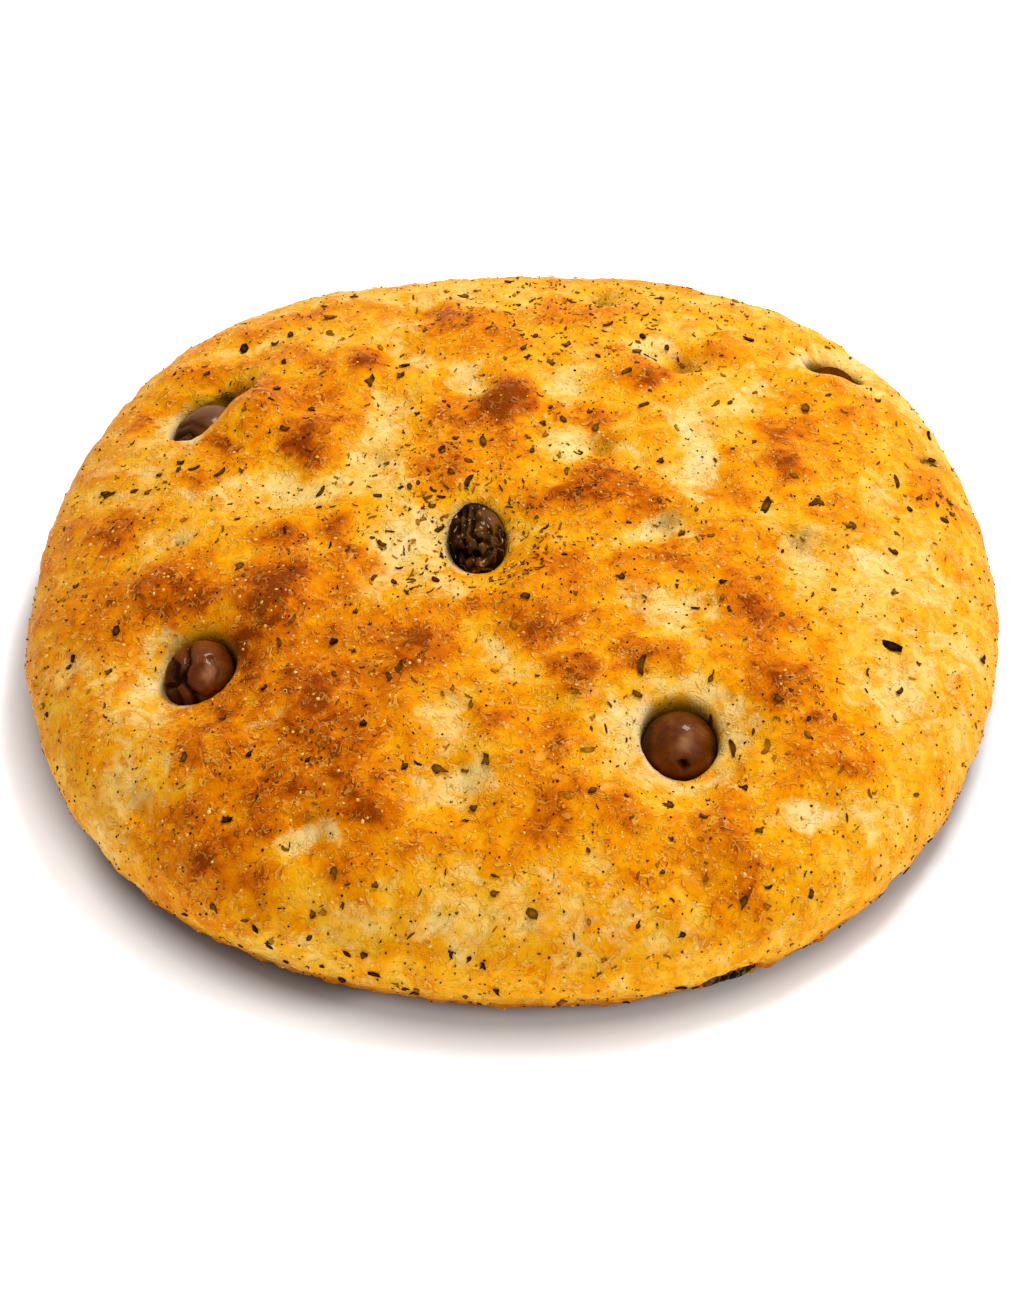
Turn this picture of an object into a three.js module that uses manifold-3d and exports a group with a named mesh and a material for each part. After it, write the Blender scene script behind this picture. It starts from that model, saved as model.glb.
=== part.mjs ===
// A round olive focaccia, baked whole: one domed loaf with finger dents and browned pillows,
// five olives sunk in wells, dried herb flakes on the crust and a charred leaf caught at the rim.
// Millimetres, +Z up, the flat base on z = 0. Plan places are measured from the middle of the crown.
import * as THREE from 'three';
import { mergeVertices } from 'three/addons/utils/BufferGeometryUtils.js';
import Module from 'manifold-3d';

const wasm = await Module();
wasm.setup();

// The loaf
const loafRadius = 125.9;
const crownHeight = 46;
const waistHeight = 14;
const footShare = 0.92;
const footDip = 1.06;
const outlineWaves = [[2, -0.4, 0.6], [3, -0.6, 0.8], [4, -2.6, 0.4], [5, 0.4, -0.7], [6, 0.4, 0]];
const crustDetail = 16;
const loafCentre = [-0.24, -1.49];

// Finger dents and raised pillows: x, y, reach and rise
const dents = [
  [-13, 52, 12, -3], [-37, 23, 9, -2.5], [-30, 67, 13, -2.5], [-33, 47, 12, -2.2], [-29, 32, 11, -2],
  [-70, 73, 14, -2.5], [-71, 62, 11, -3], [-60, 15, 17, -2.5], [12, 50, 11, -2], [44, 62, 11, -4.5],
  [21, 25, 9, -3], [45, 32, 11, -2], [48, 13, 14, -3], [34, -1, 14, -3.5], [70, -10, 11, -3],
  [24, 97, 10, -2.5], [108, 41, 7, -3], [100, 17, 9, -2], [-30, -16, 14, -2.5], [-8, -43, 12, -2.5],
  [-16, -65, 9, -2], [-15, -86, 14, -3], [-48, -96, 9, -2], [8, -65, 10, -2.5], [42, -30, 10, -2.2],
  [27, -33, 8, -1.8], [90, -48, 10, -2], [72, -87, 13, -2.5], [43, -105, 10, -2], [-88, -82, 8, -1.8],
  [-112, -33, 9, -1.6], [95, -8, 10, -1.5], [-27, 90, 13, -2],
];
const pillows = [
  [-60, -28, 17, 2.5], [-2, 46, 12, 2.2], [-52, 31, 14, 2.5], [67, -53, 16, 2.2], [-50, -60, 14, 2],
  [-36, -87, 14, 2.2], [-38, -72, 10, 1], [14, -53, 11, 1.8], [-86, -20, 15, 2], [-25, -47, 12, 1.5],
  [-40, 63, 10, 1.8], [-12, 83, 14, 1.5], [-20, 18, 13, 1.5], [32, -45, 9, 1.2], [33, 57, 12, 2.2],
  [20, 10, 16, 1.8], [-2, -72, 12, 1.5], [-72, -72, 13, 1.5], [-72, -96, 12, 1.3], [12, -88, 11, 1.5],
  [52, -98, 12, 1.5], [78, -73, 11, 1.2], [70, 25, 13, 1.8], [60, 70, 12, 1.5], [85, 50, 15, 1.8],
  [-90, 66, 12, 1.5], [-57, -3, 11, 1.4], [5, -28, 13, 1.3], [55, -22, 12, 1.4], [85, 0, 12, 1.2],
  [-67, 44, 15, 4.5], [83, 60, 14, 2.8],
];
// Uneven proof of the dough: wavelength, direction in degrees and height
const ripples = [[31, 20, 0.35], [23, 75, 0.3], [27, 140, 0.35], [17, 105, 0.22], [19, 165, 0.22]];

// Olives: half width, half length, half height, place, turn and lift of the long axis in degrees,
// how far the skin has shrunk, the hollow round the well (x, y, reach, rise) and the well's lean
const oliveGap = 0.45;
const wellMouth = [[1.02, 0.5], [1.06, 1], [1.16, 1.5], [1.32, 2.1], [1.32, 3], [0, 3]];
const olives = [
  { name: 'olive_middle', half: [7.4, 11, 7.6], at: [-9.4, -5, 42], turn: 4, lift: 0,
    shrink: 0.07, hollow: [-9.4, -8, 22, -6], lean: [0, 0] },
  { name: 'olive_left', half: [8.2, 9.8, 8], at: [-77, -41, 30.8], turn: -32, lift: 0,
    shrink: 0.07, hollow: [-79, -43, 25, -9.5], lean: [0.06, -0.15] },
  { name: 'olive_front', half: [9.1, 9.6, 9.1], at: [39.2, -64.8, 30.3], turn: 0, lift: -26,
    shrink: 0.015, hollow: [40, -71, 26, -10], lean: [0, -0.2] },
  { name: 'olive_far_left', half: [8.3, 10, 8.2], at: [-80.5, 47.5, 28.5], turn: -42, lift: 0,
    shrink: 0.02, hollow: [-86, 52, 20, -5], lean: [0.08, 0.1] },
  { name: 'olive_far_right', half: [8.2, 8.8, 8], at: [85, 71.5, 21.6], turn: 0, lift: 0,
    shrink: 0.02, hollow: [86, 77, 18, -7], lean: [0, -0.25] },
];
const hollows = olives.map((olive) => olive.hollow);
const oliveDetail = 3;

// Herb flakes: thickness, how deep they sit, and the plain ones strewn by chance
const flakeThickness = 1.7;
const flakeStand = 0.5;
const strewnFlakes = 46;
const strewnLength = [2.2, 3.6];
// The flakes that stand out: x, y, length, width and turn in degrees
const largeFlakes = [
  [92, -36, 5.5, 2.2, -20], [-68, -89, 3.2, 2.2, 40], [-44, -42, 4.2, 2, 35], [-29, 62, 4.6, 3, 80],
  [-38, 54, 4.6, 2.6, 95], [-62, 51, 3.6, 2.2, 10], [-59, 33, 3.6, 2, 150], [62, 75, 3.2, 1.8, 0],
  [-18, -79, 4.5, 2.6, 160], [29, 55, 4, 2.2, 20], [63, 6, 4.6, 1.8, 60], [-42, -104, 3.6, 2, 100],
  [53, -109, 4, 2, 70], [-36, -67, 3.2, 2.2, 0], [18, -87, 3.4, 2.2, 30], [77, 10, 3.2, 2, 130],
  [36, -87, 3, 2, 0], [-26, -79, 2.8, 2.4, 45], [-98, -30, 3, 2, 90],
];

// The charred leaf at the rim: bearing, height of its middle, size and waves
const leafBearing = -66;
const leafHeight = 4.1;
const leafLength = 13;
const leafWidth = 4.4;
const leafThickness = 0.9;
const leafLean = 28;
const leafWave = 0.35;
const leafSink = 1.7;
const leafGap = 0.35;

const radians = THREE.MathUtils.degToRad;

// A seeded draw between 0 and 1
let drawState = 20417;
function draw() {
  drawState = (drawState * 16807) % 2147483647;
  return drawState / 2147483647;
}

function outlineRadius(angle) {
  let radius = loafRadius;
  for (const [turns, cosine, sine] of outlineWaves) {
    radius += cosine * Math.cos(turns * angle) + sine * Math.sin(turns * angle);
  }
  return radius;
}

// The side of the loaf from the crown to under the foot, as share of the outline and height
function sideProfile(steps) {
  const side = [];
  for (let i = 0; i <= steps; i += 1) {
    const sweep = (Math.PI / 2) * (i / steps);
    const rise = (crownHeight - waistHeight) * Math.cos(sweep) ** (2 / 2.2);
    side.push([Math.sin(sweep) ** 0.8, waistHeight + rise]);
  }
  for (let i = 1; i <= steps; i += 1) {
    const sweep = (Math.PI / 2) * (i / steps);
    const drop = waistHeight * footDip * Math.sin(sweep);
    side.push([footShare + (1 - footShare) * Math.cos(sweep), waistHeight - drop]);
  }
  return side;
}

function swell(near) {
  return near > 0 ? near * near * (3 - 2 * near) : 0;
}

// How far the crust stands above or below the plain dome
function relief(x, y) {
  let rise = 0;
  for (const [cx, cy, reach, height] of [...dents, ...pillows, ...hollows]) {
    rise += height * swell(1 - Math.hypot(x - cx, y - cy) / reach);
  }
  for (const [length, bearing, height] of ripples) {
    const along = x * Math.cos(radians(bearing)) + y * Math.sin(radians(bearing));
    rise += height * Math.sin((2 * Math.PI * along) / length);
  }
  return rise;
}

// Relief fades out below the shoulder, where the side is smooth
function reliefShare(height) {
  return THREE.MathUtils.smoothstep(height, waistHeight - 2, waistHeight + 12);
}

function crustHeight(x, y) {
  const share = Math.min(Math.hypot(x, y) / outlineRadius(Math.atan2(y, x)), 1);
  const dome = waistHeight + (crownHeight - waistHeight) * (1 - share ** 2.5) ** (1 / 2.2);
  return dome + reliefShare(dome) * relief(x, y);
}

function crustNormal(x, y) {
  const step = 1.2;
  const slopeX = (crustHeight(x + step, y) - crustHeight(x - step, y)) / (2 * step);
  const slopeY = (crustHeight(x, y + step) - crustHeight(x, y - step)) / (2 * step);
  return new THREE.Vector3(-slopeX, -slopeY, 1).normalize();
}

// A closed geometry becomes a solid that can be joined and cut
function solidFrom(geometry) {
  const bare = geometry.clone();
  bare.deleteAttribute('normal');
  bare.deleteAttribute('uv');
  const merged = mergeVertices(bare, 1e-4);
  const corners = merged.index.array;
  const kept = [];
  for (let i = 0; i < corners.length; i += 3) {
    const [a, b, c] = corners.slice(i, i + 3);
    if (a !== b && b !== c && c !== a) kept.push(a, b, c);
  }
  const mesh = new wasm.Mesh({
    numProp: 3,
    vertProperties: new Float32Array(merged.attributes.position.array),
    triVerts: new Uint32Array(kept),
  });
  return new wasm.Manifold(mesh);
}

function geometryFrom(solid) {
  const mesh = solid.getMesh();
  const geometry = new THREE.BufferGeometry();
  geometry.setAttribute('position', new THREE.BufferAttribute(mesh.vertProperties, 3));
  geometry.setIndex(new THREE.BufferAttribute(mesh.triVerts, 1));
  geometry.computeVertexNormals();
  return geometry;
}

// The bare loaf: a ball whose rows of points are spread down the side by equal area
function loafGeometry() {
  const side = sideProfile(120);
  const reached = [0];
  for (let i = 1; i < side.length; i += 1) {
    const [share, height] = side[i];
    const [shareBefore, heightBefore] = side[i - 1];
    const run = Math.hypot((share - shareBefore) * loafRadius, height - heightBefore);
    reached.push(reached[i - 1] + (run * (share + shareBefore)) / 2);
  }
  const sideTotal = reached[side.length - 1];
  const topShare = 0.95;
  const geometry = new THREE.IcosahedronGeometry(1, crustDetail);
  const points = geometry.attributes.position;
  for (let i = 0; i < points.count; i += 1) {
    const down = (1 - points.getZ(i)) / 2;
    const angle = Math.atan2(points.getY(i), points.getX(i));
    let share;
    let height;
    if (down < topShare) {
      const wanted = (down / topShare) * sideTotal;
      const row = Math.max(reached.findIndex((area) => area >= wanted), 1);
      const part = (wanted - reached[row - 1]) / (reached[row] - reached[row - 1]);
      share = THREE.MathUtils.lerp(side[row - 1][0], side[row][0], part);
      height = THREE.MathUtils.lerp(side[row - 1][1], side[row][1], part);
    } else {
      share = footShare * Math.sqrt((1 - down) / (1 - topShare));
      height = side[side.length - 1][1];
    }
    const x = share * outlineRadius(angle) * Math.cos(angle);
    const y = share * outlineRadius(angle) * Math.sin(angle);
    const onTop = down < topShare ? reliefShare(height) * relief(x, y) : 0;
    points.setXYZ(i, x, y, height + onTop);
  }
  return geometry;
}

// The well round an olive: a cup that fits it, opening out above into a rounded lip
function wellGeometry({ half, at, turn, lean }) {
  const cup = [];
  const cupSteps = 7;
  for (let i = 0; i <= cupSteps; i += 1) {
    const sweep = (Math.PI / 2) * (i / cupSteps);
    cup.push(new THREE.Vector2(Math.sin(sweep), -Math.cos(sweep)));
  }
  cup[0].x = 0;
  for (const [out, up] of wellMouth) {
    cup.push(new THREE.Vector2(out, up));
  }
  const geometry = new THREE.LatheGeometry(cup, 22);
  geometry.rotateX(Math.PI / 2);
  geometry.scale(half[0] + oliveGap, half[1] + oliveGap, half[2] + oliveGap);
  geometry.rotateZ(radians(turn));
  const points = geometry.attributes.position;
  for (let i = 0; i < points.count; i += 1) {
    const above = Math.max(points.getZ(i), 0);
    points.setX(i, points.getX(i) + lean[0] * above);
    points.setY(i, points.getY(i) + lean[1] * above);
  }
  geometry.translate(...at);
  return geometry;
}

// An olive: an egg whose skin has drawn in along a few crossing creases
function oliveGeometry({ half, shrink }, seed) {
  const geometry = new THREE.IcosahedronGeometry(1, oliveDetail);
  const points = geometry.attributes.position;
  for (let i = 0; i < points.count; i += 1) {
    const x = points.getX(i);
    const y = points.getY(i);
    const z = points.getZ(i);
    const wave = Math.sin(5.2 * x + 2.1 * z + seed) * Math.cos(3.7 * y - 2.6 * x + 2 * seed);
    const crease = Math.abs(Math.sin(4.1 * z + 3.3 * y + 1.7 * seed + wave));
    const skin = 1 - shrink * (1 - crease) - 0.5 * shrink * (1 + wave) - 0.03 * Math.max(y, 0) ** 2;
    points.setXYZ(i, x * half[0] * skin, y * half[1] * skin, z * half[2] * skin);
  }
  return mergeSmooth(geometry);
}

function mergeSmooth(geometry) {
  geometry.deleteAttribute('normal');
  geometry.deleteAttribute('uv');
  const merged = mergeVertices(geometry, 1e-4);
  merged.computeVertexNormals();
  return merged;
}

// A dried herb flake: a ragged six-sided chip lying on the crust
function flakeGeometry([x, y, length, width, turn]) {
  const outline = new THREE.Shape();
  for (let i = 0; i < 6; i += 1) {
    const angle = (Math.PI / 3) * (i + 0.5 * draw());
    const ragged = 0.8 + 0.3 * draw();
    const along = 0.5 * length * ragged * Math.cos(angle);
    const across = 0.5 * width * ragged * Math.sin(angle);
    if (i === 0) outline.moveTo(along, across);
    else outline.lineTo(along, across);
  }
  outline.closePath();
  const geometry = new THREE.ExtrudeGeometry(outline, { depth: flakeThickness, bevelEnabled: false });
  geometry.translate(0, 0, flakeStand - flakeThickness);
  geometry.rotateZ(radians(turn));
  const up = new THREE.Vector3(0, 0, 1);
  geometry.applyQuaternion(new THREE.Quaternion().setFromUnitVectors(up, crustNormal(x, y)));
  geometry.translate(x, y, crustHeight(x, y));
  return geometry;
}

// Herbs lie thickest round the middle olive and over the far middle of the loaf
function herbChance(x, y) {
  const middle = Math.exp(-(((x + 8) / 30) ** 2) - ((y - 12) / 26) ** 2);
  const far = Math.exp(-(((x - 20) / 40) ** 2) - ((y - 85) / 18) ** 2);
  return Math.min(0.3 + 0.6 * middle + 0.5 * far, 1);
}

function clearOfOthers(x, y, placed) {
  const clearOfOlives = olives.every(({ half, at }) => Math.hypot(x - at[0], y - at[1]) > half[1] * 1.5 + 3);
  return clearOfOlives && placed.every(([px, py]) => Math.hypot(x - px, y - py) > 7);
}

function herbFlakes() {
  const placed = [...largeFlakes];
  while (placed.length < largeFlakes.length + strewnFlakes) {
    const x = (2 * draw() - 1) * loafRadius;
    const y = (2 * draw() - 1) * loafRadius;
    const inside = Math.hypot(x, y) < 0.9 * outlineRadius(Math.atan2(y, x));
    if (draw() < herbChance(x, y) && inside && clearOfOthers(x, y, placed)) {
      const length = THREE.MathUtils.lerp(...strewnLength, draw());
      placed.push([x, y, length, length * (0.5 + 0.3 * draw()), 360 * draw()]);
    }
  }
  return placed.map(flakeGeometry);
}

// A thin wavy slab, lying in x and y, with both faces split alike
function leafSlab(length, width, front, back) {
  const geometry = new THREE.BoxGeometry(length, width, 1, 8, 3, 1);
  const points = geometry.attributes.position;
  for (let i = 0; i < points.count; i += 1) {
    const x = points.getX(i);
    const y = points.getY(i);
    const taper = 1 - 0.35 * Math.abs(x / (length / 2)) ** 3;
    const curl = leafWave * Math.sin((2 * Math.PI * x) / 9) + leafWave * Math.cos(y * 1.3);
    const face = points.getZ(i) > 0 ? front : back;
    points.setXYZ(i, x, y * taper, face + curl);
  }
  return geometry;
}

// From lying flat to leaning in its nick at the foot of the loaf
function placeAtRim(geometry) {
  const bearing = radians(leafBearing);
  geometry.rotateX(Math.PI / 2);
  geometry.rotateX(-radians(leafLean));
  geometry.rotateZ(bearing + Math.PI / 2);
  const out = outlineRadius(bearing) * 0.985 - leafSink;
  geometry.translate(out * Math.cos(bearing), out * Math.sin(bearing), leafHeight);
  return geometry;
}

function loafSolid() {
  const below = new THREE.BoxGeometry(4 * loafRadius, 4 * loafRadius, crownHeight);
  below.translate(0, 0, -crownHeight / 2);
  let loaf = solidFrom(loafGeometry()).subtract(solidFrom(below));
  for (const olive of olives) {
    loaf = loaf.subtract(solidFrom(wellGeometry(olive)));
  }
  const nick = leafSlab(leafLength + 2, leafWidth + 1.4, 9, -leafThickness - leafGap);
  loaf = loaf.subtract(solidFrom(placeAtRim(nick)));
  for (const flake of herbFlakes()) {
    loaf = loaf.add(solidFrom(flake));
  }
  return loaf;
}

function piece(name, geometry, color, roughness) {
  const mesh = new THREE.Mesh(geometry, new THREE.MeshStandardMaterial({ color, roughness, metalness: 0 }));
  mesh.name = name;
  return mesh;
}

const group = new THREE.Group();
group.add(piece('bread', geometryFrom(loafSolid()), 0xe39a2b, 0.55));

olives.forEach((olive, index) => {
  const mesh = piece(olive.name, oliveGeometry(olive, index + 1), 0x4a2412, 0.3);
  mesh.position.set(...olive.at);
  mesh.rotation.set(radians(olive.lift), 0, radians(olive.turn), 'ZYX');
  group.add(mesh);
});

const leaf = leafSlab(leafLength, leafWidth, 0, -leafThickness);
group.add(piece('charred_leaf', mergeSmooth(placeAtRim(leaf)), 0x2a2118, 0.7));

group.position.set(-loafCentre[0], -loafCentre[1], 0);

export default group;
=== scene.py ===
import math

import bpy
import numpy as np
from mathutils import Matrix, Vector
from mathutils.bvhtree import BVHTree


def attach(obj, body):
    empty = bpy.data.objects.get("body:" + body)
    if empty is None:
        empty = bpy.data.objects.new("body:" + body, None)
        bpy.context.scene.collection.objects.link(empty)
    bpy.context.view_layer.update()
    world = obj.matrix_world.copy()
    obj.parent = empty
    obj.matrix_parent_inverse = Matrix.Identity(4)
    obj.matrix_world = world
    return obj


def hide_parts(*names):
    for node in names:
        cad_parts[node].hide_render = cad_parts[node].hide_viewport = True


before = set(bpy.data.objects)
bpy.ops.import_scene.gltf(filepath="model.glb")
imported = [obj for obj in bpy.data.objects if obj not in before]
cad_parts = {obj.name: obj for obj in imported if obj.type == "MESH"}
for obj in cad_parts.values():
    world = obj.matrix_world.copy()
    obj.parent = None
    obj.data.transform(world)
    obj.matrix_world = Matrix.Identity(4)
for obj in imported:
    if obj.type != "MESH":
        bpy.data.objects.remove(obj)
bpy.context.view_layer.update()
mm = 0.001
loafShift = (0.24, 1.49)  # from the middle of the crown to the middle of the footprint, mm


def place(x, y, z=0.0):  # a plan place on the loaf in mm, as a point in metres
    return Vector(((x + loafShift[0]) * mm, (y + loafShift[1]) * mm, z * mm))


# Camera and lamps

view = {  # degrees above the table, and mm
    "elevation": 46.0, "distance": 900.0, "aim": (-0.8, -4.5), "frameHeight": 338.8, "sensor": 36.0,
    "nearest": 10,
}
lamps = [  # name, place in metres, size in metres, power in watts
    ("keyBox", (0.36, 0.54, 1.02), 0.36, 12.5),
    ("rightBox", (1.05, -0.75, 0.85), 1.1, 5.5),
    ("leftBox", (-1.2, 0.7, 0.9), 0.9, 1.2),
    ("frontBox", (-0.2, -1.3, 0.5), 0.9, 2.6),
]
room = {"colour": (1.0, 0.99, 0.98, 1.0), "strength": 0.46, "lampTarget": (0, 0, 0.02)}
tilt = math.radians(view["elevation"])
towardsCamera = (0, -math.cos(tilt), math.sin(tilt))
upInView = (0, math.sin(tilt), math.cos(tilt))


def aimAt(thing, target):
    thing.rotation_euler = (Vector(target) - thing.location).to_track_quat('-Z', 'Y').to_euler()


def setCamera():
    aim = place(*view["aim"])
    bpy.ops.object.camera_add(location=aim + Vector(towardsCamera) * view["distance"] * mm)
    camera = bpy.context.object
    aimAt(camera, aim)
    camera.data.sensor_width = view["sensor"]
    camera.data.lens = view["sensor"] * view["distance"] / view["frameHeight"]
    camera.data.clip_start = view["nearest"] * mm
    bpy.context.scene.camera = camera


def setLights():
    for name, spot, size, power in lamps:
        bpy.ops.object.light_add(type='AREA', location=spot)
        lamp = bpy.context.object
        lamp.name = name
        lamp.data.size = size
        lamp.data.energy = power
        aimAt(lamp, room["lampTarget"])
    world = bpy.data.worlds.new("paleRoom")
    world.use_nodes = True
    sky = world.node_tree.nodes["Background"]
    sky.inputs["Color"].default_value = room["colour"]
    sky.inputs["Strength"].default_value = room["strength"]
    bpy.context.scene.world = world
    bpy.context.scene.view_settings.view_transform = 'Standard'


bpy.ops.object.select_all(action='DESELECT')
setCamera()
setLights()
print("stage: camera and lamps")


# Shader maths on sockets

class Wire:  # wraps a socket, so that 1 - mask * 0.5 adds its Math nodes
    def __init__(self, socket):
        self.socket = socket

    def node(self, kind, settings=None, inputs=None, output=0):
        tree = self.socket.id_data
        made = tree.nodes.new("ShaderNode" + kind)
        for name, value in (settings or {}).items():
            if name == "stops":
                fillRamp(made.color_ramp, value)
            else:
                setattr(made, name, value)
        for name, value in (inputs or {}).items():
            if isinstance(value, Wire):
                tree.links.new(value.socket, made.inputs[name])
            else:
                made.inputs[name].default_value = value
        return Wire(made.outputs[output])

    def math(self, operation, first, second=0.0):
        return self.node("Math", {"operation": operation}, {0: first, 1: second})

    def __add__(self, other):
        return self.math('ADD', self, other)

    def __radd__(self, other):
        return self.math('ADD', other, self)

    def __sub__(self, other):
        return self.math('SUBTRACT', self, other)

    def __rsub__(self, other):
        return self.math('SUBTRACT', other, self)

    def __mul__(self, other):
        return self.math('MULTIPLY', self, other)

    def __rmul__(self, other):
        return self.math('MULTIPLY', other, self)

    def __abs__(self):
        return self.math('ABSOLUTE', self)

    def fract(self):
        return self.math('FRACT', self)

    def above(self, low, high):  # 0 below low, 1 above high, smooth between
        return self.node("MapRange", {"interpolation_type": 'SMOOTHSTEP'}, {0: self, 1: low, 2: high})

    def ramp(self, stops):
        return self.node("ValToRGB", {"stops": stops}, {0: self})

    def noise(self, size, detail=2.0, rough=0.5, twist=0.0):  # size is a feature's width in metres
        return self.node("TexNoise", {}, {
            "Vector": self, "Scale": 1 / size, "Detail": detail, "Roughness": rough, "Distortion": twist,
        })

    def cells(self, size, output="Distance", feature='F1'):
        return self.node("TexVoronoi", {"feature": feature}, {"Vector": self, "Scale": 1 / size}, output)

    def edges(self, size):  # distance to the edges of cells, in cell widths
        return self.cells(size, feature='DISTANCE_TO_EDGE')

    def vector(self, operation, inputs, output=0):
        return self.node("VectorMath", {"operation": operation}, {0: self, **inputs}, output)

    def stretched(self, share):
        return self.vector('MULTIPLY', {1: share})

    def warped(self, size, reach):  # the place, pushed about by up to reach
        push = self.node("TexNoise", {}, {"Vector": self, "Scale": 1 / size, "Detail": 1.0}, "Color")
        return push.vector('MULTIPLY_ADD', {1: (reach, reach, reach), 2: self})

    def distanceTo(self, place):
        return self.vector('DISTANCE', {1: place}, "Value")

    def over(self, other, amount):  # colours: other laid over self
        return self.node("Mix", {"data_type": 'RGBA'}, {0: amount, 6: self, 7: other}, 2)

    def part(self, axis):  # one of a vector's or colour's three numbers
        return self.node("SeparateXYZ", {}, {0: self}, axis)

    def mark(self, name):  # a mesh attribute by name
        return self.node("Attribute", {"attribute_name": name}, {}, "Fac")

    def bump(self, depth, strength=1.0):
        return self.node("Bump", {}, {"Height": self, "Distance": depth, "Strength": strength})


def fillRamp(ramp, stops):
    while len(ramp.elements) < len(stops):
        ramp.elements.new(1.0)
    for element, (spot, colour) in zip(ramp.elements, stops):
        element.position = spot
        element.color = colour


def summed(base, wires, shares):  # the base plus each named wire times its share
    for name, share in shares.items():
        base = base + wires[name] * share
    return base


def rgb(red, green, blue):  # a screen colour from 0 to 255 as linear light
    return (*[((c / 255 + 0.055) / 1.055) ** 2.4 if c > 10 else c / 3294.6 for c in (red, green, blue)], 1.0)


lampGain = 0.84  # a surface's own colour as a share of what the screen shows under these lamps


def baked(red, green, blue):  # the own colour of what looks like this on screen
    return (*[part * lampGain for part in rgb(red, green, blue)[:3]], 1.0)


def bakedRamp(stops):
    return [(spot, baked(*colour)) for spot, colour in stops]


def newMaterial(name, fixed):  # returns the material, its shader node and its object coordinates
    material = bpy.data.materials.new(name)
    material.use_nodes = True
    shader = material.node_tree.nodes["Principled BSDF"]
    for socket, value in fixed.items():
        shader.inputs[socket].default_value = value
    coordinates = material.node_tree.nodes.new("ShaderNodeTexCoord")
    return material, shader, Wire(coordinates.outputs["Object"])


def feed(shader, wires):
    for name, wire in wires.items():
        shader.id_data.links.new(wire.socket, shader.inputs[name])


# Mesh helpers

def add(primitive, name, **settings):  # a new object, alone in the selection
    bpy.ops.object.select_all(action='DESELECT')
    primitive(**settings)
    made = bpy.context.object
    made.name = name
    return made


def only(thing):  # the one selected and active object
    bpy.ops.object.select_all(action='DESELECT')
    thing.select_set(True)
    bpy.context.view_layer.objects.active = thing


def editAll():  # into edit mode with everything selected
    bpy.ops.object.mode_set(mode='EDIT')
    bpy.ops.mesh.select_all(action='SELECT')


def editChosen(thing, chosen):  # into edit mode with the chosen points selected
    only(thing)
    bpy.ops.object.mode_set(mode='EDIT')
    bpy.ops.mesh.select_mode(type='VERT')
    bpy.ops.mesh.select_all(action='DESELECT')
    bpy.ops.object.mode_set(mode='OBJECT')
    thing.data.vertices.foreach_set("select", chosen)
    bpy.ops.object.mode_set(mode='EDIT')


def faceOutwards():  # the faces of a closed form, and back to object mode
    bpy.ops.mesh.select_all(action='SELECT')
    bpy.ops.mesh.normals_make_consistent(inside=False)
    bpy.ops.object.mode_set(mode='OBJECT')


def extrudeTo(share, height, nextShare, nextHeight):  # the selected cap moves up and draws in
    bpy.ops.mesh.extrude_region_move(TRANSFORM_OT_translate={"value": (0, 0, (nextHeight - height) * mm)})
    bpy.ops.transform.resize(value=(nextShare / share, nextShare / share, 1))


def pull(operator, value, falloff, reach):  # moves what is selected, and its surroundings follow
    operator(value=value, use_proportional_edit=True, proportional_edit_falloff=falloff,
             proportional_size=reach * mm)
    bpy.ops.object.mode_set(mode='OBJECT')


def applyModifier(thing, kind, **settings):
    only(thing)
    modifier = thing.modifiers.new(kind.lower(), kind)
    for name, value in settings.items():
        setattr(modifier, name, value)
    bpy.ops.object.modifier_apply(modifier=modifier.name)


def roughen(thing, name, size, height, group=""):
    texture = bpy.data.textures.new(name, 'CLOUDS')
    texture.noise_scale = size * mm
    texture.noise_depth = 1
    applyModifier(thing, 'DISPLACE', texture=texture, texture_coords='LOCAL', strength=height * mm,
                  mid_level=0.5, vertex_group=group)


def readAll(things, field, width=3):  # a field of all vertices or faces as an array
    flat = np.empty(len(things) * width)
    things.foreach_get(field, flat)
    return flat.reshape(-1, width) if width > 1 else flat


def points(thing):
    return readAll(thing.data.vertices, "co")


def setPoints(thing, moved):
    thing.data.vertices.foreach_set("co", np.ascontiguousarray(moved, dtype=float).ravel())
    thing.data.update()


def faceCorners(thing):
    return [face.vertices[:] for face in thing.data.polygons]


def setMarks(thing, marks):  # named values on every point, for the materials
    for name, values in marks.items():
        layer = thing.data.attributes.new(name, 'FLOAT', 'POINT')
        layer.data.foreach_set("value", np.ascontiguousarray(values, dtype=np.float32))


def weigh(thing, name, weights):  # a vertex group, in steps of a tenth
    group = thing.vertex_groups.new(name=name)
    steps = np.round(np.clip(weights, 0, 1) * 10).astype(int)
    for step in range(1, 11):
        group.add(np.flatnonzero(steps == step).tolist(), step / 10, 'REPLACE')
    return name


def remove(thing):
    bpy.data.objects.remove(thing, do_unlink=True)


def smoothStep(value, low, high):
    part = np.clip((value - low) / (high - low), 0, 1)
    return part * part * (3 - 2 * part)


def turned(x, y, angle):
    return x * math.cos(angle) - y * math.sin(angle), x * math.sin(angle) + y * math.cos(angle)


def finish(thing, node, material, crisp=False):
    thing.data.materials.clear()
    thing.data.materials.append(material)
    only(thing)
    if crisp:
        bpy.ops.object.shade_flat()
    else:
        bpy.ops.object.shade_smooth()
    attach(thing, "root")
    if node:
        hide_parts(node)


class Draw:  # a seeded draw between 0 and 1, or between two values
    def __init__(self, seed):
        self.state = seed

    def __call__(self, low=0.0, high=1.0):
        self.state = self.state * 16807 % 2147483647
        return low + (high - low) * self.state / 2147483647


# The loaf's form

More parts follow.
